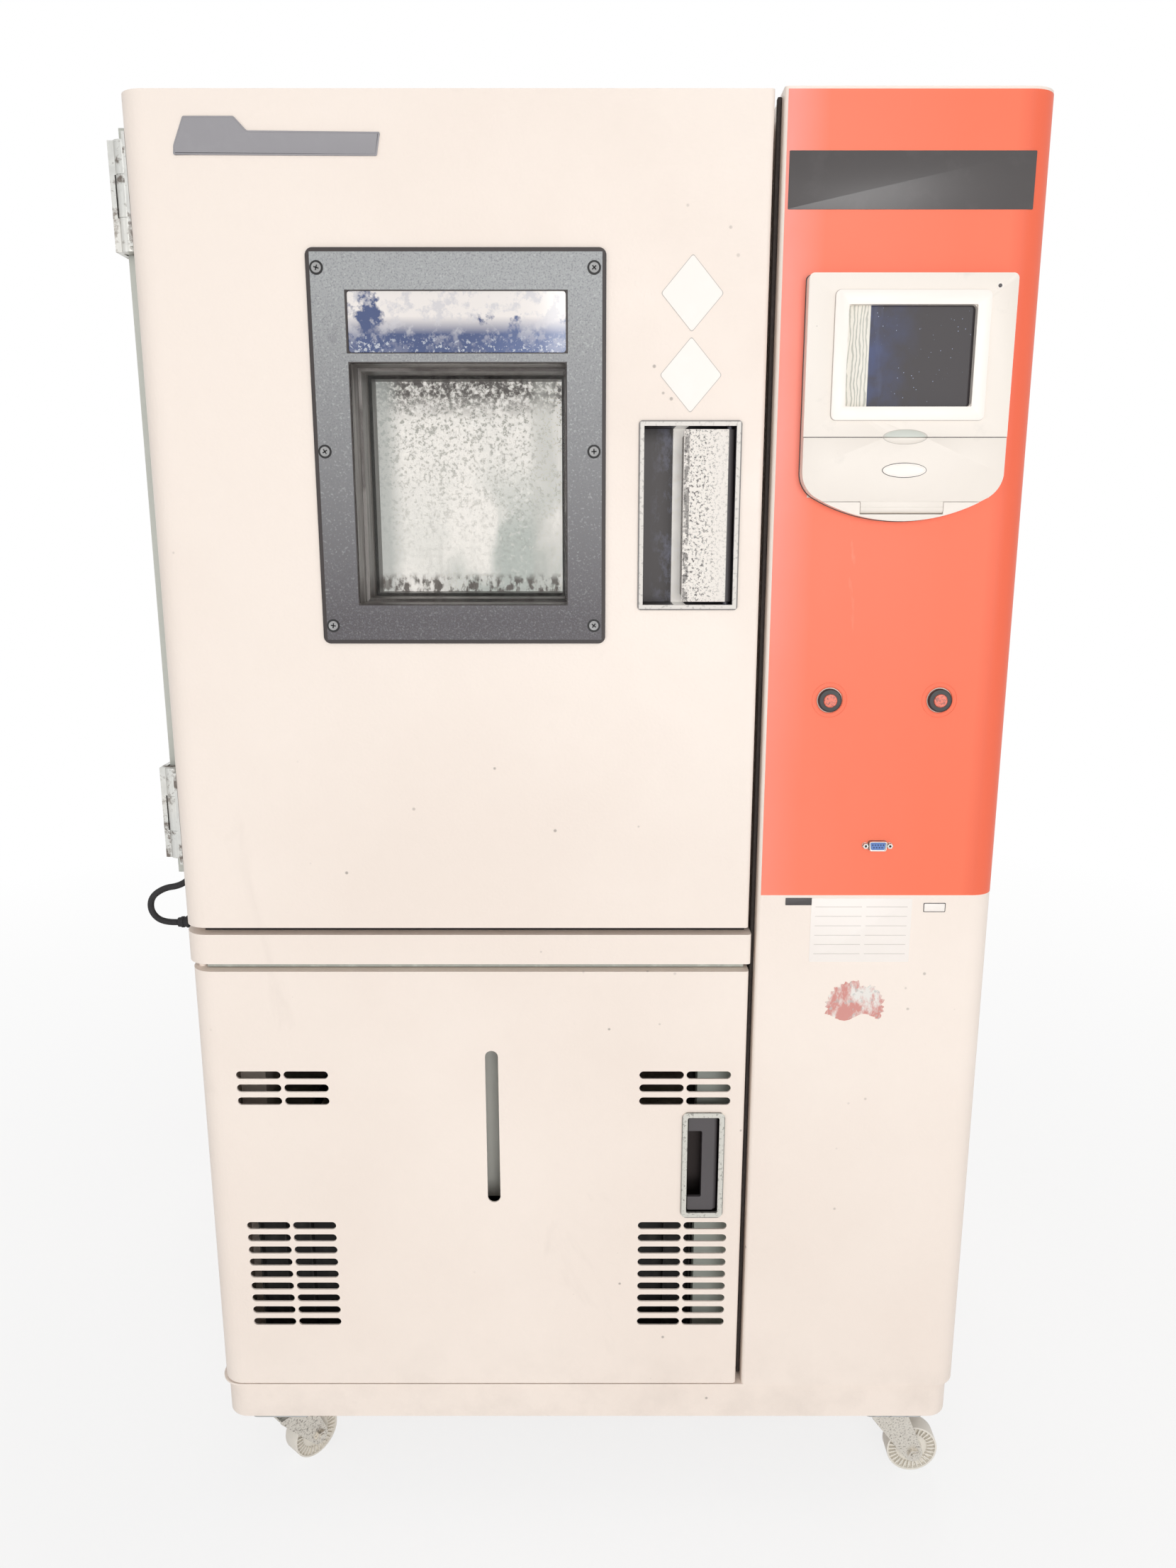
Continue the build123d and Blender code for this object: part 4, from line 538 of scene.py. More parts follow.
finishes = {
    "cream": cream_paint(),
    "film": orange_film(),
    "window_enamel": textured_grey(),
    "stainless": brushed("stainless", (204, 203, 199), 0.26, (1, 1, 0.02)),
    "stainless_flat": brushed("stainless_flat", (198, 197, 193), 0.3, (0.02, 1, 1)),
    "speckled_plate": speckled_plate(),
    "handle_steel": recess_steel(),
    "latch_steel": latch_steel(),
    "zinc": speckled_zinc("castor_zinc", (214, 209, 200), (126, 121, 114), 420),
    "hinge": speckled_zinc("hinge_zinc", (206, 206, 202), (104, 92, 84), 60),
    "galvanised": speckled_zinc("galvanised", (182, 184, 184), (132, 134, 134), 40),
    "black_can": painted_can(),
    "foam": foam_finish(),
    "black": moulded("black_plastic", (34, 33, 34), 0.4),
    "tunnel": tunnel_finish(),
    "recess": moulded("recess_black", (80, 76, 78), 0.45),
    "port_blue": moulded("port_blue", (92, 126, 190), 0.4, 0.1),
    # dark finish that stands in for the shade in holes, sinks and recesses
    "painted_hole_shade": moulded("painted_hole_shade", (26, 25, 26), 0.6),
    "white": moulding_finish(),
    "frame_white": moulded("screen_frame_white", (253, 246, 239), 0.4, 0.05),
    "grey": moulded("channel_grey", (196, 199, 192), 0.5, 0.3),
    "nylon": moulded("nylon", (232, 227, 217), 0.45, 0.25, 200),
    # dark strips that stand in for the shade in the gaps
    "painted_gap_shade": soft_rubber("painted_gap_shade", (58, 52, 50)),
    "post_grey": moulded("post_grey", (188, 194, 186), 0.5, 0.3),
    "screw_grey": moulded("screw_grey", (158, 158, 158), 0.4, 0.2),
    "tank": moulded("tank_plastic", (228, 228, 220), 0.4),
    "lead": soft_rubber("lead_rubber", (36, 35, 37)),
    "seal": soft_rubber("seal_rubber", (196, 194, 186)),
    "strip_grey": soft_rubber("strip_grey", (178, 183, 176)),
    "panes": window_panes(),
    "lamp_glass": lamp_glass(),
    "display": display_glass(),
    "red_lens": lens_finish(),
    "fins": fin_finish(),
    "black_band": printed("black_band", (76, 72, 72), 0.3, 0.25),
    "screw_zinc": speckled_zinc("screw_zinc", (200, 199, 194), (130, 128, 124), 400),
    "badge_plate": printed("badge_plate", (152, 150, 154), 0.35),
    "white_sticker": printed("white_sticker", (246, 239, 233), 0.4, 0.12),
    "grey_line": printed("grey_line", (196, 188, 182), 0.5, 0.2),
    "dark_line": printed("dark_line", (70, 66, 66), 0.5, 0.2),
    "remnant": faded_remnant(),
    "lamp_tube": moulded("lamp_tube", (248, 248, 244), 0.3, 0.05),
}

node_finish = {
    "cream": "base_frame left_side_panel roof_panel rear_panel control_front_cover front_rail "
             "door_skin service_door",
    "galvanised": "partition_wall condenser_shroud castor_plates electrical_panel",
    "hinge": "hinge_brackets door_hinge_leaves",
    "stainless": "chamber_liner shelf_rails blower_wheel drain_spigot "
                 "door_latch_bolt cable_port air_baffle",
    "stainless_flat": "shelf heater_element door_inner_panel comm_port",
    "speckled_plate": "door_lever",
    "handle_steel": "door_handle_housing",
    "latch_steel": "service_latch_housing",
    "recess": "service_latch_lever",
    "fins": "evaporator_coil condenser_coil",
    "foam": "chamber_insulation",
    "black_can": "compressor blower_motor",
    "tank": "water_tank",
    "white": "controller_bezel controller_flap",
    "lamp_tube": "chamber_lamp",
    "display": "lcd_screen",
    "black": "button_bezels condenser_fan",
    "tunnel": "window_tunnel",
    "grey": "door_cable_channel",
    "lead": "lead_gland door_lead cable_port_plug",
    "seal": "door_gasket",
    "window_enamel": "window_frame",
    "panes": "window_glass",
    "lamp_glass": "lamp_panel",
    "red_lens": "light_button power_button",
    "zinc": " ".join("castor_fork_" + corner for corner in castor_turns),
    "nylon": " ".join("castor_wheel_" + corner for corner in castor_turns),
}


def put_on(piece, finish_name):
    piece.data.materials.clear()
    piece.data.materials.append(finishes[finish_name].material)


for finish_name, names in node_finish.items():
    for name in names.split():
        put_on(nodes[name], finish_name)


# Modelling helpers
to_front = (math.radians(90), 0, 0)


def deselect():
    if bpy.context.mode != "OBJECT":
        bpy.ops.object.mode_set(mode="OBJECT")
    bpy.ops.object.select_all(action="DESELECT")


def choose(piece):
    """Make one piece the only selected and active one."""
    deselect()
    piece.select_set(True)
    bpy.context.view_layer.objects.active = piece


def settle(piece):
    """Put the piece's place, turn and size into its mesh."""
    choose(piece)
    bpy.ops.object.transform_apply(location=True, rotation=True, scale=True)


def new_piece(name, primitive, scale=(1, 1, 1), **settings):
    """One of Blender's primitives, with its place, turn and size put into its mesh, in metres."""
    deselect()
    getattr(bpy.ops.mesh, "primitive_" + primitive + "_add")(**settings)
    piece = bpy.context.object
    piece.name = name
    piece.scale = scale
    settle(piece)
    return piece


def block(name, x0, x1, y0, y1, z0, z1):
    low, high = at(x0, y0, z0), at(x1, y1, z1)
    return new_piece(name, "cube", high - low, size=1, location=(low + high) / 2)


def cylinder(name, sides, radius, depth, place=(0, 0, 0), turn=to_front):
    return new_piece(
        name, "cylinder", vertices=sides, radius=radius, depth=depth, location=place, rotation=turn,
    )


def disc(name, x, z, y0, y1, radius, sides=48):
    """A round plate seen from the front."""
    place = at(x, (y0 + y1) / 2, z)
    return cylinder(name, sides, radius / 1000, (y1 - y0) / 1000, place)


def close():
    bpy.ops.object.mode_set(mode="OBJECT")


def edit(piece, kind):
    """Choose faces or edges as what is edited, with none selected."""
    choose(piece)
    bpy.ops.object.mode_set(mode="EDIT")
    bpy.ops.mesh.select_mode(type=kind)
    bpy.ops.mesh.select_all(action="DESELECT")
    close()


def select_faces(piece, test):
    edit(piece, "FACE")
    for face in piece.data.polygons:
        face.select = test(face)
    bpy.ops.object.mode_set(mode="EDIT")


def select_edges(piece, test):
    edit(piece, "EDGE")
    for line in piece.data.edges:
        first, last = (piece.data.vertices[index].co for index in line.vertices)
        line.select = test(first, last)
    bpy.ops.object.mode_set(mode="EDIT")


def facing_front(face):
    return face.normal.y < -0.9


def round_edges(piece, radius, segments, test):
    """Round the edges whose ends pass the test."""
    select_edges(piece, test)
    bpy.ops.mesh.bevel(offset=radius / 1000, segments=segments, affect="EDGES")
    close()


def round_corners(piece, radius, segments=8):
    """Round the edges that run front to back, as on a plate seen from the front."""
    def front_to_back(first, last):
        return abs((last - first).y) > 0.9 * (last - first).length
    round_edges(piece, radius, segments, front_to_back)


def sink(piece, *steps, test=facing_front):
    """Inset the faces that pass the test, each step by a width and a depth in metres."""
    select_faces(piece, test)
    for width, depth in steps:
        bpy.ops.mesh.inset(thickness=width, depth=depth)
    close()


def soften(piece, width, segments=2, angle=35):
    """Round every sharp edge a little."""
    choose(piece)
    bevel = piece.modifiers.new("soft_edges", "BEVEL")
    bevel.width = width / 1000
    bevel.segments = segments
    bevel.limit_method = "ANGLE"
    bevel.angle_limit = math.radians(angle)
    bpy.ops.object.modifier_apply(modifier=bevel.name)
    bpy.ops.object.shade_smooth_by_angle(angle=math.radians(35))


def cut(piece, cutters):
    """Take the cutters out of the piece."""
    for cutter in cutters:
        choose(piece)
        trim = piece.modifiers.new("cut", "BOOLEAN")
        trim.operation = "DIFFERENCE"
        trim.solver = "EXACT"
        trim.object = cutter
        bpy.ops.object.modifier_apply(modifier=trim.name)
        bpy.data.objects.remove(cutter)


def fuse(name, pieces):
    """Join pieces of one material into one."""
    deselect()
    for piece in pieces:
        piece.select_set(True)
    bpy.context.view_layer.objects.active = pieces[0]
    bpy.ops.object.join()
    pieces[0].name = name
    return pieces[0]


def dress(piece, finish_name, body="cabinet"):
    """Give a finished piece its material and the body it moves with."""
    put_on(piece, finish_name)
    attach(piece, body)


def copy_of(piece, name, change):
    """A copy with its own mesh, moved and turned by a matrix."""
    twin = piece.copy()
    twin.data = piece.data.copy()
    twin.name = name
    link(twin)
    twin.data.transform(change)
    return twin


# Camera at the photograph's place
camera_data = bpy.data.cameras.new("photo_camera")
camera_data.sensor_fit = "HORIZONTAL"
sensor_width, focal_pixels, photo_pixels, tilt_down = 36.0, 1661, 1659, 13.03
camera_data.sensor_width = sensor_width
camera_data.lens = sensor_width * focal_pixels / photo_pixels
camera = bpy.data.objects.new("photo_camera", camera_data)
camera.location = at(0.5, -1166.5, 1123.0)
camera.rotation_euler = (math.radians(90 - tilt_down), 0, 0)
link(camera)
bpy.context.scene.camera = camera


# Lead from the door's channel to the rail, on the points of its CAD route
def door_lead():
    route = (
        (-438.0, 79.0, 739.2), (-440.0, 79.5, 727.0), (-453.0, 80.5, 718.5),
        (-470.0, 81.0, 716.0), (-486.0, 82.0, 705.0), (-488.0, 83.0, 687.0),
        (-475.0, 83.0, 674.5), (-458.0, 82.0, 675.5),
    )
    data = bpy.data.curves.new("lead_route", "CURVE")
    data.dimensions = "3D"
    line = data.splines.new("NURBS")
    line.points.add(len(route) - 1)
    for point, place in zip(line.points, route):
        point.co = (*at(*place), 1.0)
    line.order_u = 3
    line.use_endpoint_u = True
    data.resolution_u = 12
    data.bevel_depth = 0.0035
    data.bevel_resolution = 4
    data.use_fill_caps = True
    lead = bpy.data.objects.new("lead_cord", data)
    link(lead)
    data.materials.append(finishes["lead"].material)
    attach(lead, "cabinet")
    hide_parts("door_lead")


door_lead()


# Film, band and labels on the control cabinet
def film_shell():
    """Thin skin over the front and round the right-hand corner, cut round what stands out."""
    outer = block("control_film", 150, 425 + film_thick, -film_thick, 120, 734.5, 1491.6)
    inner = block("inner_cut", 140, 425, 0, 130, 730, 1496)

    def front_right(first, last):
        middle = (first + last) / 2
        upright = abs((last - first).z) > 0.1
        return upright and middle.x > at(400, 0, 0).x and middle.y < at(0, 20, 0).y

    for shell, radius in ((outer, 25 + film_thick), (inner, 25)):
        round_edges(shell, radius, 12, front_right)
    port = block("port_cut", port_x - 9.6, port_x + 9.6, -5, 5, 783.1, 793.7)
    cutters = [
        inner, block("left_cut", 140, 180.2, -5, 140, 730, 1496),
        block("back_cut", 140, 440, 62, 140, 730, 1496),
        block("controller_cut", 211, 386.5, -5, 5, 1136, 1328),
    ]
    cutters += [disc("button_cut", x, button_z, -5, 5, 12.6, 40) for x in button_xs]
    round_corners(port, 2.5)
    cutters.append(port)
    cutters += [disc("screw_cut", x, port_z, -5, 5, 3.1, 32) for x in jack_xs]
    cut(outer, cutters)
    choose(outer)
    bpy.ops.object.shade_smooth_by_angle(angle=math.radians(35))
    dress(outer, "film", "cabinet")


def film_rings():
    """Ripples where the film is stretched round the two buttons."""
    rings = [
        new_piece(
            "film_ripples", "torus", location=at(x, -film_thick, button_z), rotation=to_front,
            major_segments=64, minor_segments=10, major_radius=radius / 1000,
            minor_radius=thick / 1000,
        )
        for x in button_xs for radius, thick in ((13.4, 0.55), (17.5, 0.3))
    ]
    ripples = fuse("film_ripples", rings)
    choose(ripples)
    bpy.ops.object.shade_smooth()
    dress(ripples, "film", "cabinet")


film_shell()
film_rings()


def flat_label(name, x0, x1, z0, z1, finish_name, y=0.0, thick=0.4, radius=1.0):
    label = block(name, x0, x1, y - thick, y, z0, z1)
    round_corners(label, radius, 4)
    soften(label, 0.12, 2)
    dress(label, finish_name)


flat_label("control_band", 182.9, 406.8, 1391.8, 1441.0, "black_band", -film_thick, radius=0.8)
flat_label("black_tag", 206.0, 233.5, 723.5, 731.5, "dark_line", radius=0.6)
flat_label("data_plate", 233.0, 338.0, 660.8, 731.0, "white_sticker")


def ruled_lines():
    """Bare ruled lines of the data plate."""
    first_z, spacing, high = 721.5, 10.4, 0.45
    rules = []
    for z in (first_z - index * spacing for index in range(6)):
        for x0, x1 in ((237.5, 286.0), (290.5, 333.5)):
            rules.append(block("rule", x0, x1, -0.47, -0.4, z, z + high))
    dress(fuse("plate_rules", rules), "grey_line")


ruled_lines()
flat_label("small_tag_line", 350.0, 373.0, 716.0, 726.0, "dark_line", 0.0, 0.3)
flat_label("small_tag", 350.8, 372.2, 716.8, 725.2, "white_sticker", -0.3, 0.15, 0.8)


def torn_remnant():
    """What is left of a torn sticker: an arched patch with a ragged rim."""
    patch = disc("sticker_remnant", 284.0, 610.0, -0.35, 0, 30.0, 72)
    ragged = (0.0, 1.8, -1.2, 2.6, 0.6, -2.2, 1.4, -0.6, 2.2, -1.6, 0.8, 1.2)
    centre = at(284.0, 0, 610.0)
    for index, vertex in enumerate(patch.data.vertices):
        away = vertex.co - centre
        step = 1 + ragged[(index // 2) % len(ragged)] / 30
        vertex.co.x = centre.x + away.x * step
        vertex.co.z = centre.z + away.z * step * 0.95
        floor_z = centre.z - 0.012 + 0.004 * math.sin(away.x * 150)
        vertex.co.z = max(vertex.co.z, floor_z)
        if away.x > 0.005 and away.z > 0:
            vertex.co.z -= 0.006 * math.exp(-((away.x - 0.008) / 0.005) ** 2)
    dress(patch, "remnant")


torn_remnant()


# Badge plate and stickers on the main door
def flat_outline(name, points, y0, y1):
    """A flat plate through corner points seen from the front, filled and thickened."""
    plate = new_piece(
        name, "circle", vertices=len(points), radius=0.01, fill_type="NGON", rotation=to_front,
    )

    def turn(vertex):
        return math.atan2(vertex.co.z, vertex.co.x) % (2 * math.pi)

    for vertex, (x, z) in zip(sorted(plate.data.vertices, key=turn), points):
        vertex.co = at(x, y1, z)
    select_faces(plate, lambda face: True)
    bpy.ops.mesh.extrude_region_move(TRANSFORM_OT_translate={"value": (0, (y0 - y1) / 1000, 0)})
    bpy.ops.mesh.select_all(action="SELECT")
    bpy.ops.mesh.normals_make_consistent(inside=False)
    close()
    return plate


def badge_plate():
    """Bare plate, taller at its sloping left end, with a raised rim."""
    outline = (
        (-187.0, 1456.0), (-306.8, 1457.2), (-318.1, 1469.1), (-363.9, 1469.1),
        (-373.8, 1445.2), (-374.5, 1437.3), (-190.5, 1436.4),
    )
    plate = flat_outline("door_badge", outline, -1.6, 0)
    round_corners(plate, 1.2, 3)
    sink(plate, (0.0011, 0), (0.0004, -0.0004))
    soften(plate, 0.15, 2)
    dress(plate, "badge_plate", "main_door")


badge_plate()


def diamond_sticker(name, x, z):
    """A bare diamond: border line below, face above."""
    for part, half_wide, half_high, y0, y1, finish_name in (
        (name + "_line", 29.4, 34.4, -0.3, 0.0, "grey_line"),
        (name, 28.6, 33.5, -0.45, -0.3, "white_sticker"),
    ):
        plate = cylinder(part, 4, 0.001, (y1 - y0) / 1000)
        centre = Matrix.Translation(at(x, (y0 + y1) / 2, z))
        plate.data.transform(centre @ Matrix.Diagonal((half_wide, 1, half_high, 1)))
        round_corners(plate, 2.2, 4)
        dress(plate, finish_name, "main_door")


diamond_sticker("upper_diamond", 97.4, 1320.3)
diamond_sticker("lower_diamond", 97.3, 1248.1)


# Sealing strip below the rail, dark strips of painted shade in the other gaps, and the upright that
# shows through the air slots
def gap_strips():
    """Grey strip below the rail; dark ones above it and beside the doors are painted shade in those
    gaps.
    """
    for name, box, finish_name in (
        ("lower_gap_strip", (-405, 166, 12, 18, 650.3, 657.7), "strip_grey"),
        # dark strips: painted shade in the gaps
        ("upper_gap_shade", (-405, 166, 14, 18, 690.9, 698.1), "painted_gap_shade"),
        ("side_gap_shade", (173.0, 176.8, 16, 24, 146, 1490), "painted_gap_shade"),
    ):
        strip = block(name, *box)
        soften(strip, 0.8, 3)
        dress(strip, finish_name, "cabinet")


def slot_upright():
    """Folded upright of the machine room, seen through the right-hand slots."""
    upright = block("slot_upright", 122, 170, 34, 60, 148, 640)
    hollow = block("fold_cut", 124, 168, 36, 70, 140, 650)
    cut(upright, [hollow])
    soften(upright, 0.6, 2)
    dress(upright, "post_grey", "cabinet")


gap_strips()
slot_upright()


# Cross-headed screws
def cross_screw():
    """A dished head with a cross recess, and a dark cross of painted shade in it, both at the
    origin.
    """
    head = cylinder("screw_master", 32, 0.0045, 0.0016)
    sink(head, (0.0007, 0), (0.0006, -0.0002))
    # the bars make a dark cross of painted shade in the recess
    cutters, shade_bars = [], []
    for wide, high in ((0.0050, 0.0012), (0.0012, 0.0050)):
        for made, y, deep, less in (
            (cutters, -0.0008, 0.0018, 0.0), (shade_bars, -0.0001, 0.0004, 0.0001),
        ):
            size = (wide - less, deep, high - less)
            made.append(new_piece("bar", "cube", size, size=1, location=(0, y, 0)))
    cut(head, cutters)
    soften(head, 0.1, 2, 40)
    return head, fuse("cross_shade_master", shade_bars)


screw_masters = cross_screw()


def screws(name, places, finish_name, body, facing=0):
    """Copies of the screw, each turned a little differently, joined as heads and as dark crosses of
    painted shade.
    """
    swing = Matrix.Rotation(math.radians(facing), 4, "Z")
    parts = ((name, finish_name), (name + "_cross_shades", "painted_hole_shade"))
    for master, (part, part_finish) in zip(screw_masters, parts):
        made = []
        for index, place in enumerate(places):
            turned = swing @ Matrix.Rotation(0.7 * index + 0.3, 4, "Y")
            made.append(copy_of(master, part, Matrix.Translation(at(*place)) @ turned))
        dress(fuse(part, made), part_finish, body)


window_places = [(x, -2.9, z) for x in (-250, 6.2) for z in (1342, 1178.6, 1013.6)]
# dark discs of painted shade in the sinks round the window screws
sunk = [disc("screw_sink_shades", x, z, -2.62, -2.5, 6.4, 40) for x, y, z in window_places]
dress(fuse("screw_sink_shades", sunk), "painted_hole_shade", "main_door")
screws("window_screws", window_places, "screw_grey", "main_door")
rear_places = [(x, 980, z) for x in (-413, -140, 140, 413) for z in (160, 1462)]
rear_places += [(x, 980, z) for x in (-413, 413) for z in (420, 680, 940, 1200)]
screws("rear_screws", rear_places, "screw_zinc", "cabinet", 180)
left_places = [(-425, y, z) for y in (150, 420, 690, 960) for z in (162, 630)]
left_places += [(-425, y, 1462) for y in (150, 420, 690, 960)]
screws("left_screws", left_places, "screw_zinc", "cabinet", -90)
right_places = [(425, 962, z) for z in (162, 430, 690, 950, 1210, 1462)]
screws("right_screws", right_places, "screw_zinc", "cabinet", 90)


# Controller details
def controller_outline(grow=0.0):
    """Corner points of the controller's front, which ends in one shallow arc below.

    Each row is an arc: its centre, radius, first and last turn, points and steps.
    """
    middle_z, half_wide, half_high = 1224.7, 95, 110
    points = []
    for centre_x, centre_z, radius, first, last, count, steps in (
        (controller_x, 1280.2, 166.2, 240.5, 299.5, 25, 25),
        (366.8, 1159.4, 27.6, 299.5, 360.0, 10, 10),
        (389.5, 1330.5, 5.0, 0.0, 90.0, 7, 6),
        (207.8, 1330.5, 5.0, 90.0, 180.0, 7, 6),
        (230.5, 1159.4, 27.6, 180.0, 240.5, 10, 10),
    ):
        for step in range(count):
            turn = math.radians(first + (last - first) * step / steps)
            x = centre_x + radius * math.cos(turn) - controller_x
            z = centre_z + radius * math.sin(turn) - middle_z
            points.append((
                controller_x + x * (1 + grow / half_wide), middle_z + z * (1 + grow / half_high),
            ))
    return points


def along_x(name, x0, x1, y, z, radius):
    """A rod that runs from left to right."""
    to_side = (0, math.radians(90), 0)
    middle = at((x0 + x1) / 2, y, z)
    return cylinder(name, 40, radius / 1000, (x1 - x0) / 1000, middle, to_side)


def dimple_cutter():
    return new_piece(
        "dimple_cut", "uv_sphere", (0.0208, 0.0032, 0.0069), segments=48, ring_count=24, radius=1,
        location=at(controller_x, -15.6, dimple_z),
    )


def screen_cutter(y0, y1, radius):
    x0, x1, z0, z1 = screen_opening
    cutter = block("screen_cut", x0, x1, y0, y1, z0, z1)
    if radius:
        round_corners(cutter, radius, 5 if radius > 2 else 3)
    return cutter


def controller_case():
    """The moulded front with the flap's pocket, the screen's opening and the roller's notch."""
    case = flat_outline("controller_case", controller_outline(), -15, -0.05)
    pocket = block("pocket_cut", 190, 410, -18, -10, 1131.7, dimple_z)
    notch = block("notch_cut", 259.4, 338.9, -18, -5.5, 1120.4, 1133)
    cut(case, [pocket, screen_cutter(-18, 2, 4), notch, dimple_cutter()])
    soften(case, 0.35, 2, 40)
    chassis = block("chassis", 212.8, 384.5, -0.05, 60, 1139.5, 1325.5)
    soften(chassis, 1.0, 2)
    rods = [
        along_x("knuckle", 250.0, 259.4, -10.6, 1126.0, 4.2),
        along_x("knuckle", 338.9, 347.3, -10.6, 1126.0, 4.2),
        along_x("pin", 259.0, 339.3, -11, 1125.5, 1.4),
    ]
    case = fuse("controller_case", [case, chassis] + rods)
    dress(case, "white")
    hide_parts("controller_bezel")
    # a dark strip of painted shade in the seam between the case and the flap
    seam = block("flap_seam_shade", 203.6, 393.7, -14.7, -11, 1190.6, 1191.2)
    cut(seam, [block("seam_cut", 277, 320, -20, -5, 1180, 1200)])
    dress(seam, "dark_line")
    line = flat_outline("controller_shade_line", controller_outline(0.7), -0.8, -0.35)
    dress(line, "dark_line")


def controller_cover():
    """The flap: its plate, the finger dimple, the roller and the web along it."""
    cover = flat_outline("controller_cover", controller_outline(-0.25), -15, -11)
    above = block("above_cut", 190, 410, -20, -5, 1190.5, 1400)
    below = block("below_cut", 190, 410, -20, -5, 1000, 1132.2)
    cut(cover, [above, below, dimple_cutter()])
    web = block("web", 259.8, 338.5, -15, -11, 1126.5, 1132.6)
    cover = fuse("controller_cover", [cover, web])
    soften(cover, 0.3, 2, 40)
    roller = along_x("roller", 259.8, 338.5, -11, 1125.5, 4.45)
    soften(roller, 0.25, 2)
    cover = fuse("controller_cover", [cover, roller])
    dress(cover, "white", "flap")
    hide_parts("controller_flap")


controller_case()
controller_cover()


def stretched_disc(name, y0, y1, wide, high):
    """An oval plate round the flap badge's middle."""
    plate = disc(name, flap_badge_x, flap_badge_z, y0, y1, 10.0, 64)
    centre = at(flap_badge_x, 0, flap_badge_z)
    for vertex in plate.data.vertices:
        vertex.co.x = centre.x + (vertex.co.x - centre.x) * wide
        vertex.co.z = centre.z + (vertex.co.z - centre.z) * high
    return plate


def controller_details():
    """Status light, the flap's bare oval badge and the screen's pale inner frame."""
    for name, radius, y0, finish_name, slot in (
        ("light_collar", 3.1, -15.5, "frame_white", "white_plastic"),
        ("status_light", 1.7, -15.8, "recess", "black_plastic"),
    ):
        light = disc(name, 377.4, 1324.3, y0, -15.0, radius, 32)
        sink(light, (0.0005, 0), (0.0002, -0.0003))
        soften(light, 0.12, 2)
        dress(light, finish_name, "cabinet")

    badge = stretched_disc("flap_badge", -15.9, -15.0, 2.05, 0.63)
    sink(badge, (0.0011, 0), (0.0003, -0.0006))
    soften(badge, 0.2, 2)
    dress(badge, "frame_white", "flap")
    ring = stretched_disc("badge_ring", -15.2, -14.9, 2.11, 0.69)
    dress(ring, "dark_line", "flap")

    x0, x1, z0, z1 = 227.5, 370.4, 1206.2, 1320.6
    for name, wider, y0, y1, radius, opening_radius, finish_name in (
        ("frame_line", 0.5, -15.2, -14.9, 5.3, 0, "grey_line"),
        ("screen_frame", 0, -17.4, -15.1, 5, 1.2, "frame_white"),
    ):
        piece = block(name, x0 - wider, x1 + wider, y0, y1, z0 - wider, z1 + wider)
        round_corners(piece, radius, 6)
        cut(piece, [screen_cutter(-25, -10, opening_radius)])
        if name == "screen_frame":
            soften(piece, 0.3, 2)
        dress(piece, finish_name)


controller_details()


# Nine-way port: blue face, with dark discs of painted shade in its sockets and in the collar holes
# of its jack screws
def port_sockets():
    face = block("port_face", 289.9, 306.1, -4.5, -4.2, 784.5, 792.3)
    for vertex in face.data.vertices:
        if vertex.co.z < at(0, 0, 788).z:
            vertex.co.x += 0.0012 if vertex.co.x < at(port_x, 0, 0).x else -0.0012
    round_corners(face, 1.4, 4)
    soften(face, 0.08, 1)
    dress(face, "port_blue", "cabinet")
    # dark discs of painted shade in the sockets and jack holes
    pitch = 2.77
    holes = []
    for count, height, start in ((5, 1.4, -5.54), (4, -1.4, -4.155)):
        for x in (port_x + start + index * pitch for index in range(count)):
            holes.append(disc("socket", x, port_z + height, -4.65, -4.5, 0.62, 16))
    holes += [disc("jack_hole", x, port_z, -4.65, -4.5, 1.25, 24) for x in jack_xs]
    dress(fuse("port_sockets", holes), "painted_hole_shade", "cabinet")


port_sockets()


# Castor wheels with their ribbed rims, in place of the plain ones
def wheel_master():
    """A wheel on the Y axis: tread, sunk web, hub and short radial ribs by the rim."""
    rib_count = 30
    wheel = cylinder("wheel_master", 72, 0.0299, 0.0218)
    steps = ((0.0022, 0), (0.0004, -0.004), (0.0150, 0), (0.0008, 0.006))
    sink(wheel, *steps, test=lambda face: abs(face.normal.y) > 0.9)
    cut(wheel, [cylinder("bore", 40, 0.00405, 0.05)])
    soften(wheel, 0.5, 2, 40)
    ribs = []
    for index in range(rib_count):
        size = (0.0088, 0.0200, 0.0013)
        rib = new_piece("rib", "cube", size, size=1, location=(0.0232, 0, 0))
        rib.data.transform(Matrix.Rotation(2 * math.pi * index / rib_count, 4, "Y"))
        ribs.append(rib)
    return fuse("wheel_master", [wheel] + ribs)


def wheels():
    """Each wheel stands to one side of its swivel, as far round as in the photograph."""
    master = wheel_master()
    for name, degrees in castor_turns.items():
        angle = math.radians(degrees)
        end, side = name.split("_")
        x = (-castor_x if side == "left" else castor_x) + castor_trail * math.cos(angle)
        centre = at(x, castor_ys[end] + castor_trail * math.sin(angle), castor_z)
        turned = Matrix.Translation(centre) @ Matrix.Rotation(angle, 4, "Z")
        wheel = copy_of(master, "ribbed_wheel_" + name, turned)
        dress(wheel, "nylon", "wheel_" + name)
        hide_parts("castor_wheel_" + name)
    bpy.data.objects.remove(master)


wheels()
for master in screw_masters:
    bpy.data.objects.remove(master)


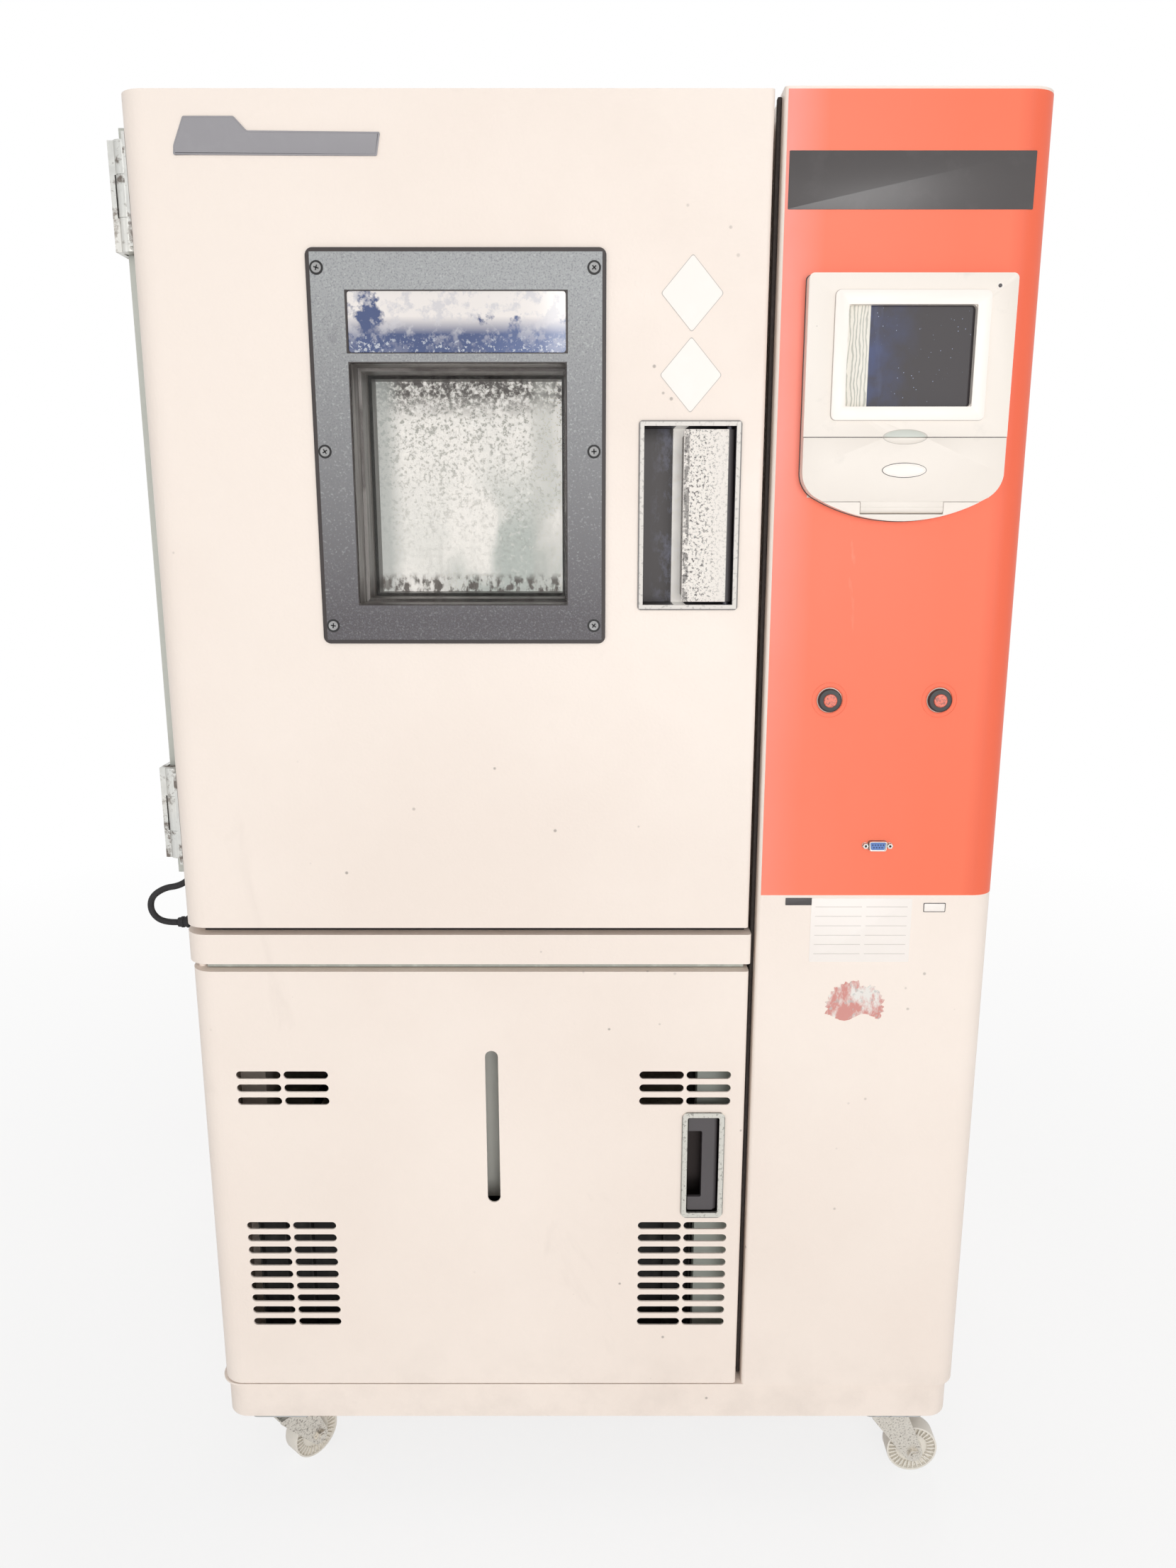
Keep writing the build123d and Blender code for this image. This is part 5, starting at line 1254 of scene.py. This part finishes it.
# Floor, background and lights
def two_sided(graph, out_kind, unseen, seen, fade=None):
    """One shader lights the object, the other is seen, straight, mirrored or through glass."""
    path = graph.add("ShaderNodeLightPath").outputs
    rays = (path["Is " + kind + " Ray"] for kind in ("Camera", "Glossy", "Transmission"))
    amount = graph.most(*rays)
    if fade is not None:
        amount = graph.times(amount, fade)
    mix = graph.add("ShaderNodeMixShader")
    for out, into in zip((amount, unseen.outputs[0], seen.outputs[0]), mix.inputs):
        graph.join(out, into)
    graph.join(mix.outputs[0], graph.add(out_kind).inputs[0])


def white_stage():
    """White floor, a little shaded below the object, and a white world."""
    deselect()
    bpy.ops.mesh.primitive_plane_add(size=30, location=(0, 0, 0))
    floor = bpy.context.object
    floor.name = "floor"
    material = bpy.data.materials.new("floor_white")
    world = bpy.data.worlds.new("studio")
    bpy.context.scene.world = world
    for owner in (material, world):
        owner.use_nodes = True
        owner.node_tree.nodes.clear()

    graph = Graph(material.node_tree)
    away = graph.length(graph.add("ShaderNodeTexCoord").outputs["Object"])
    two_sided(
        graph, "ShaderNodeOutputMaterial",
        graph.add("ShaderNodeBsdfDiffuse", {"Color": (0.9, 0.9, 0.9, 1)}),
        graph.add("ShaderNodeEmission", {"Color": (1, 1, 1, 1)}),
        graph.ramp(away, 0.8, 2.6, 0.78, 1.0),
    )
    floor.data.materials.append(material)

    graph = Graph(world.node_tree)
    two_sided(
        graph, "ShaderNodeOutputWorld",
        graph.add("ShaderNodeBackground", {"Color": (1.0, 0.99, 0.98, 1), "Strength": 0.5}),
        graph.add("ShaderNodeBackground", {"Color": (1, 1, 1, 1), "Strength": 1.0}),
    )


def soft_lamp(name, place, target, size, watts):
    data = bpy.data.lights.new(name, "AREA")
    data.size = size
    data.energy = watts
    lamp = bpy.data.objects.new(name, data)
    lamp.visible_camera = False
    lamp.location = place
    lamp.rotation_euler = (Vector(target) - Vector(place)).to_track_quat("-Z", "Y").to_euler()
    link(lamp)


white_stage()
soft_lamp("key", (1.1, -5.4, 1.5), (0, 0, 0.6), 2.6, 112)
soft_lamp("fill", (-3.4, -3.6, 1.0), (0, 0, 0.6), 2.4, 16)
soft_lamp("back", (0.5, 3.6, 3.0), (0, 0, 0.8), 2.4, 55)
bpy.context.scene.view_settings.view_transform = "Standard"
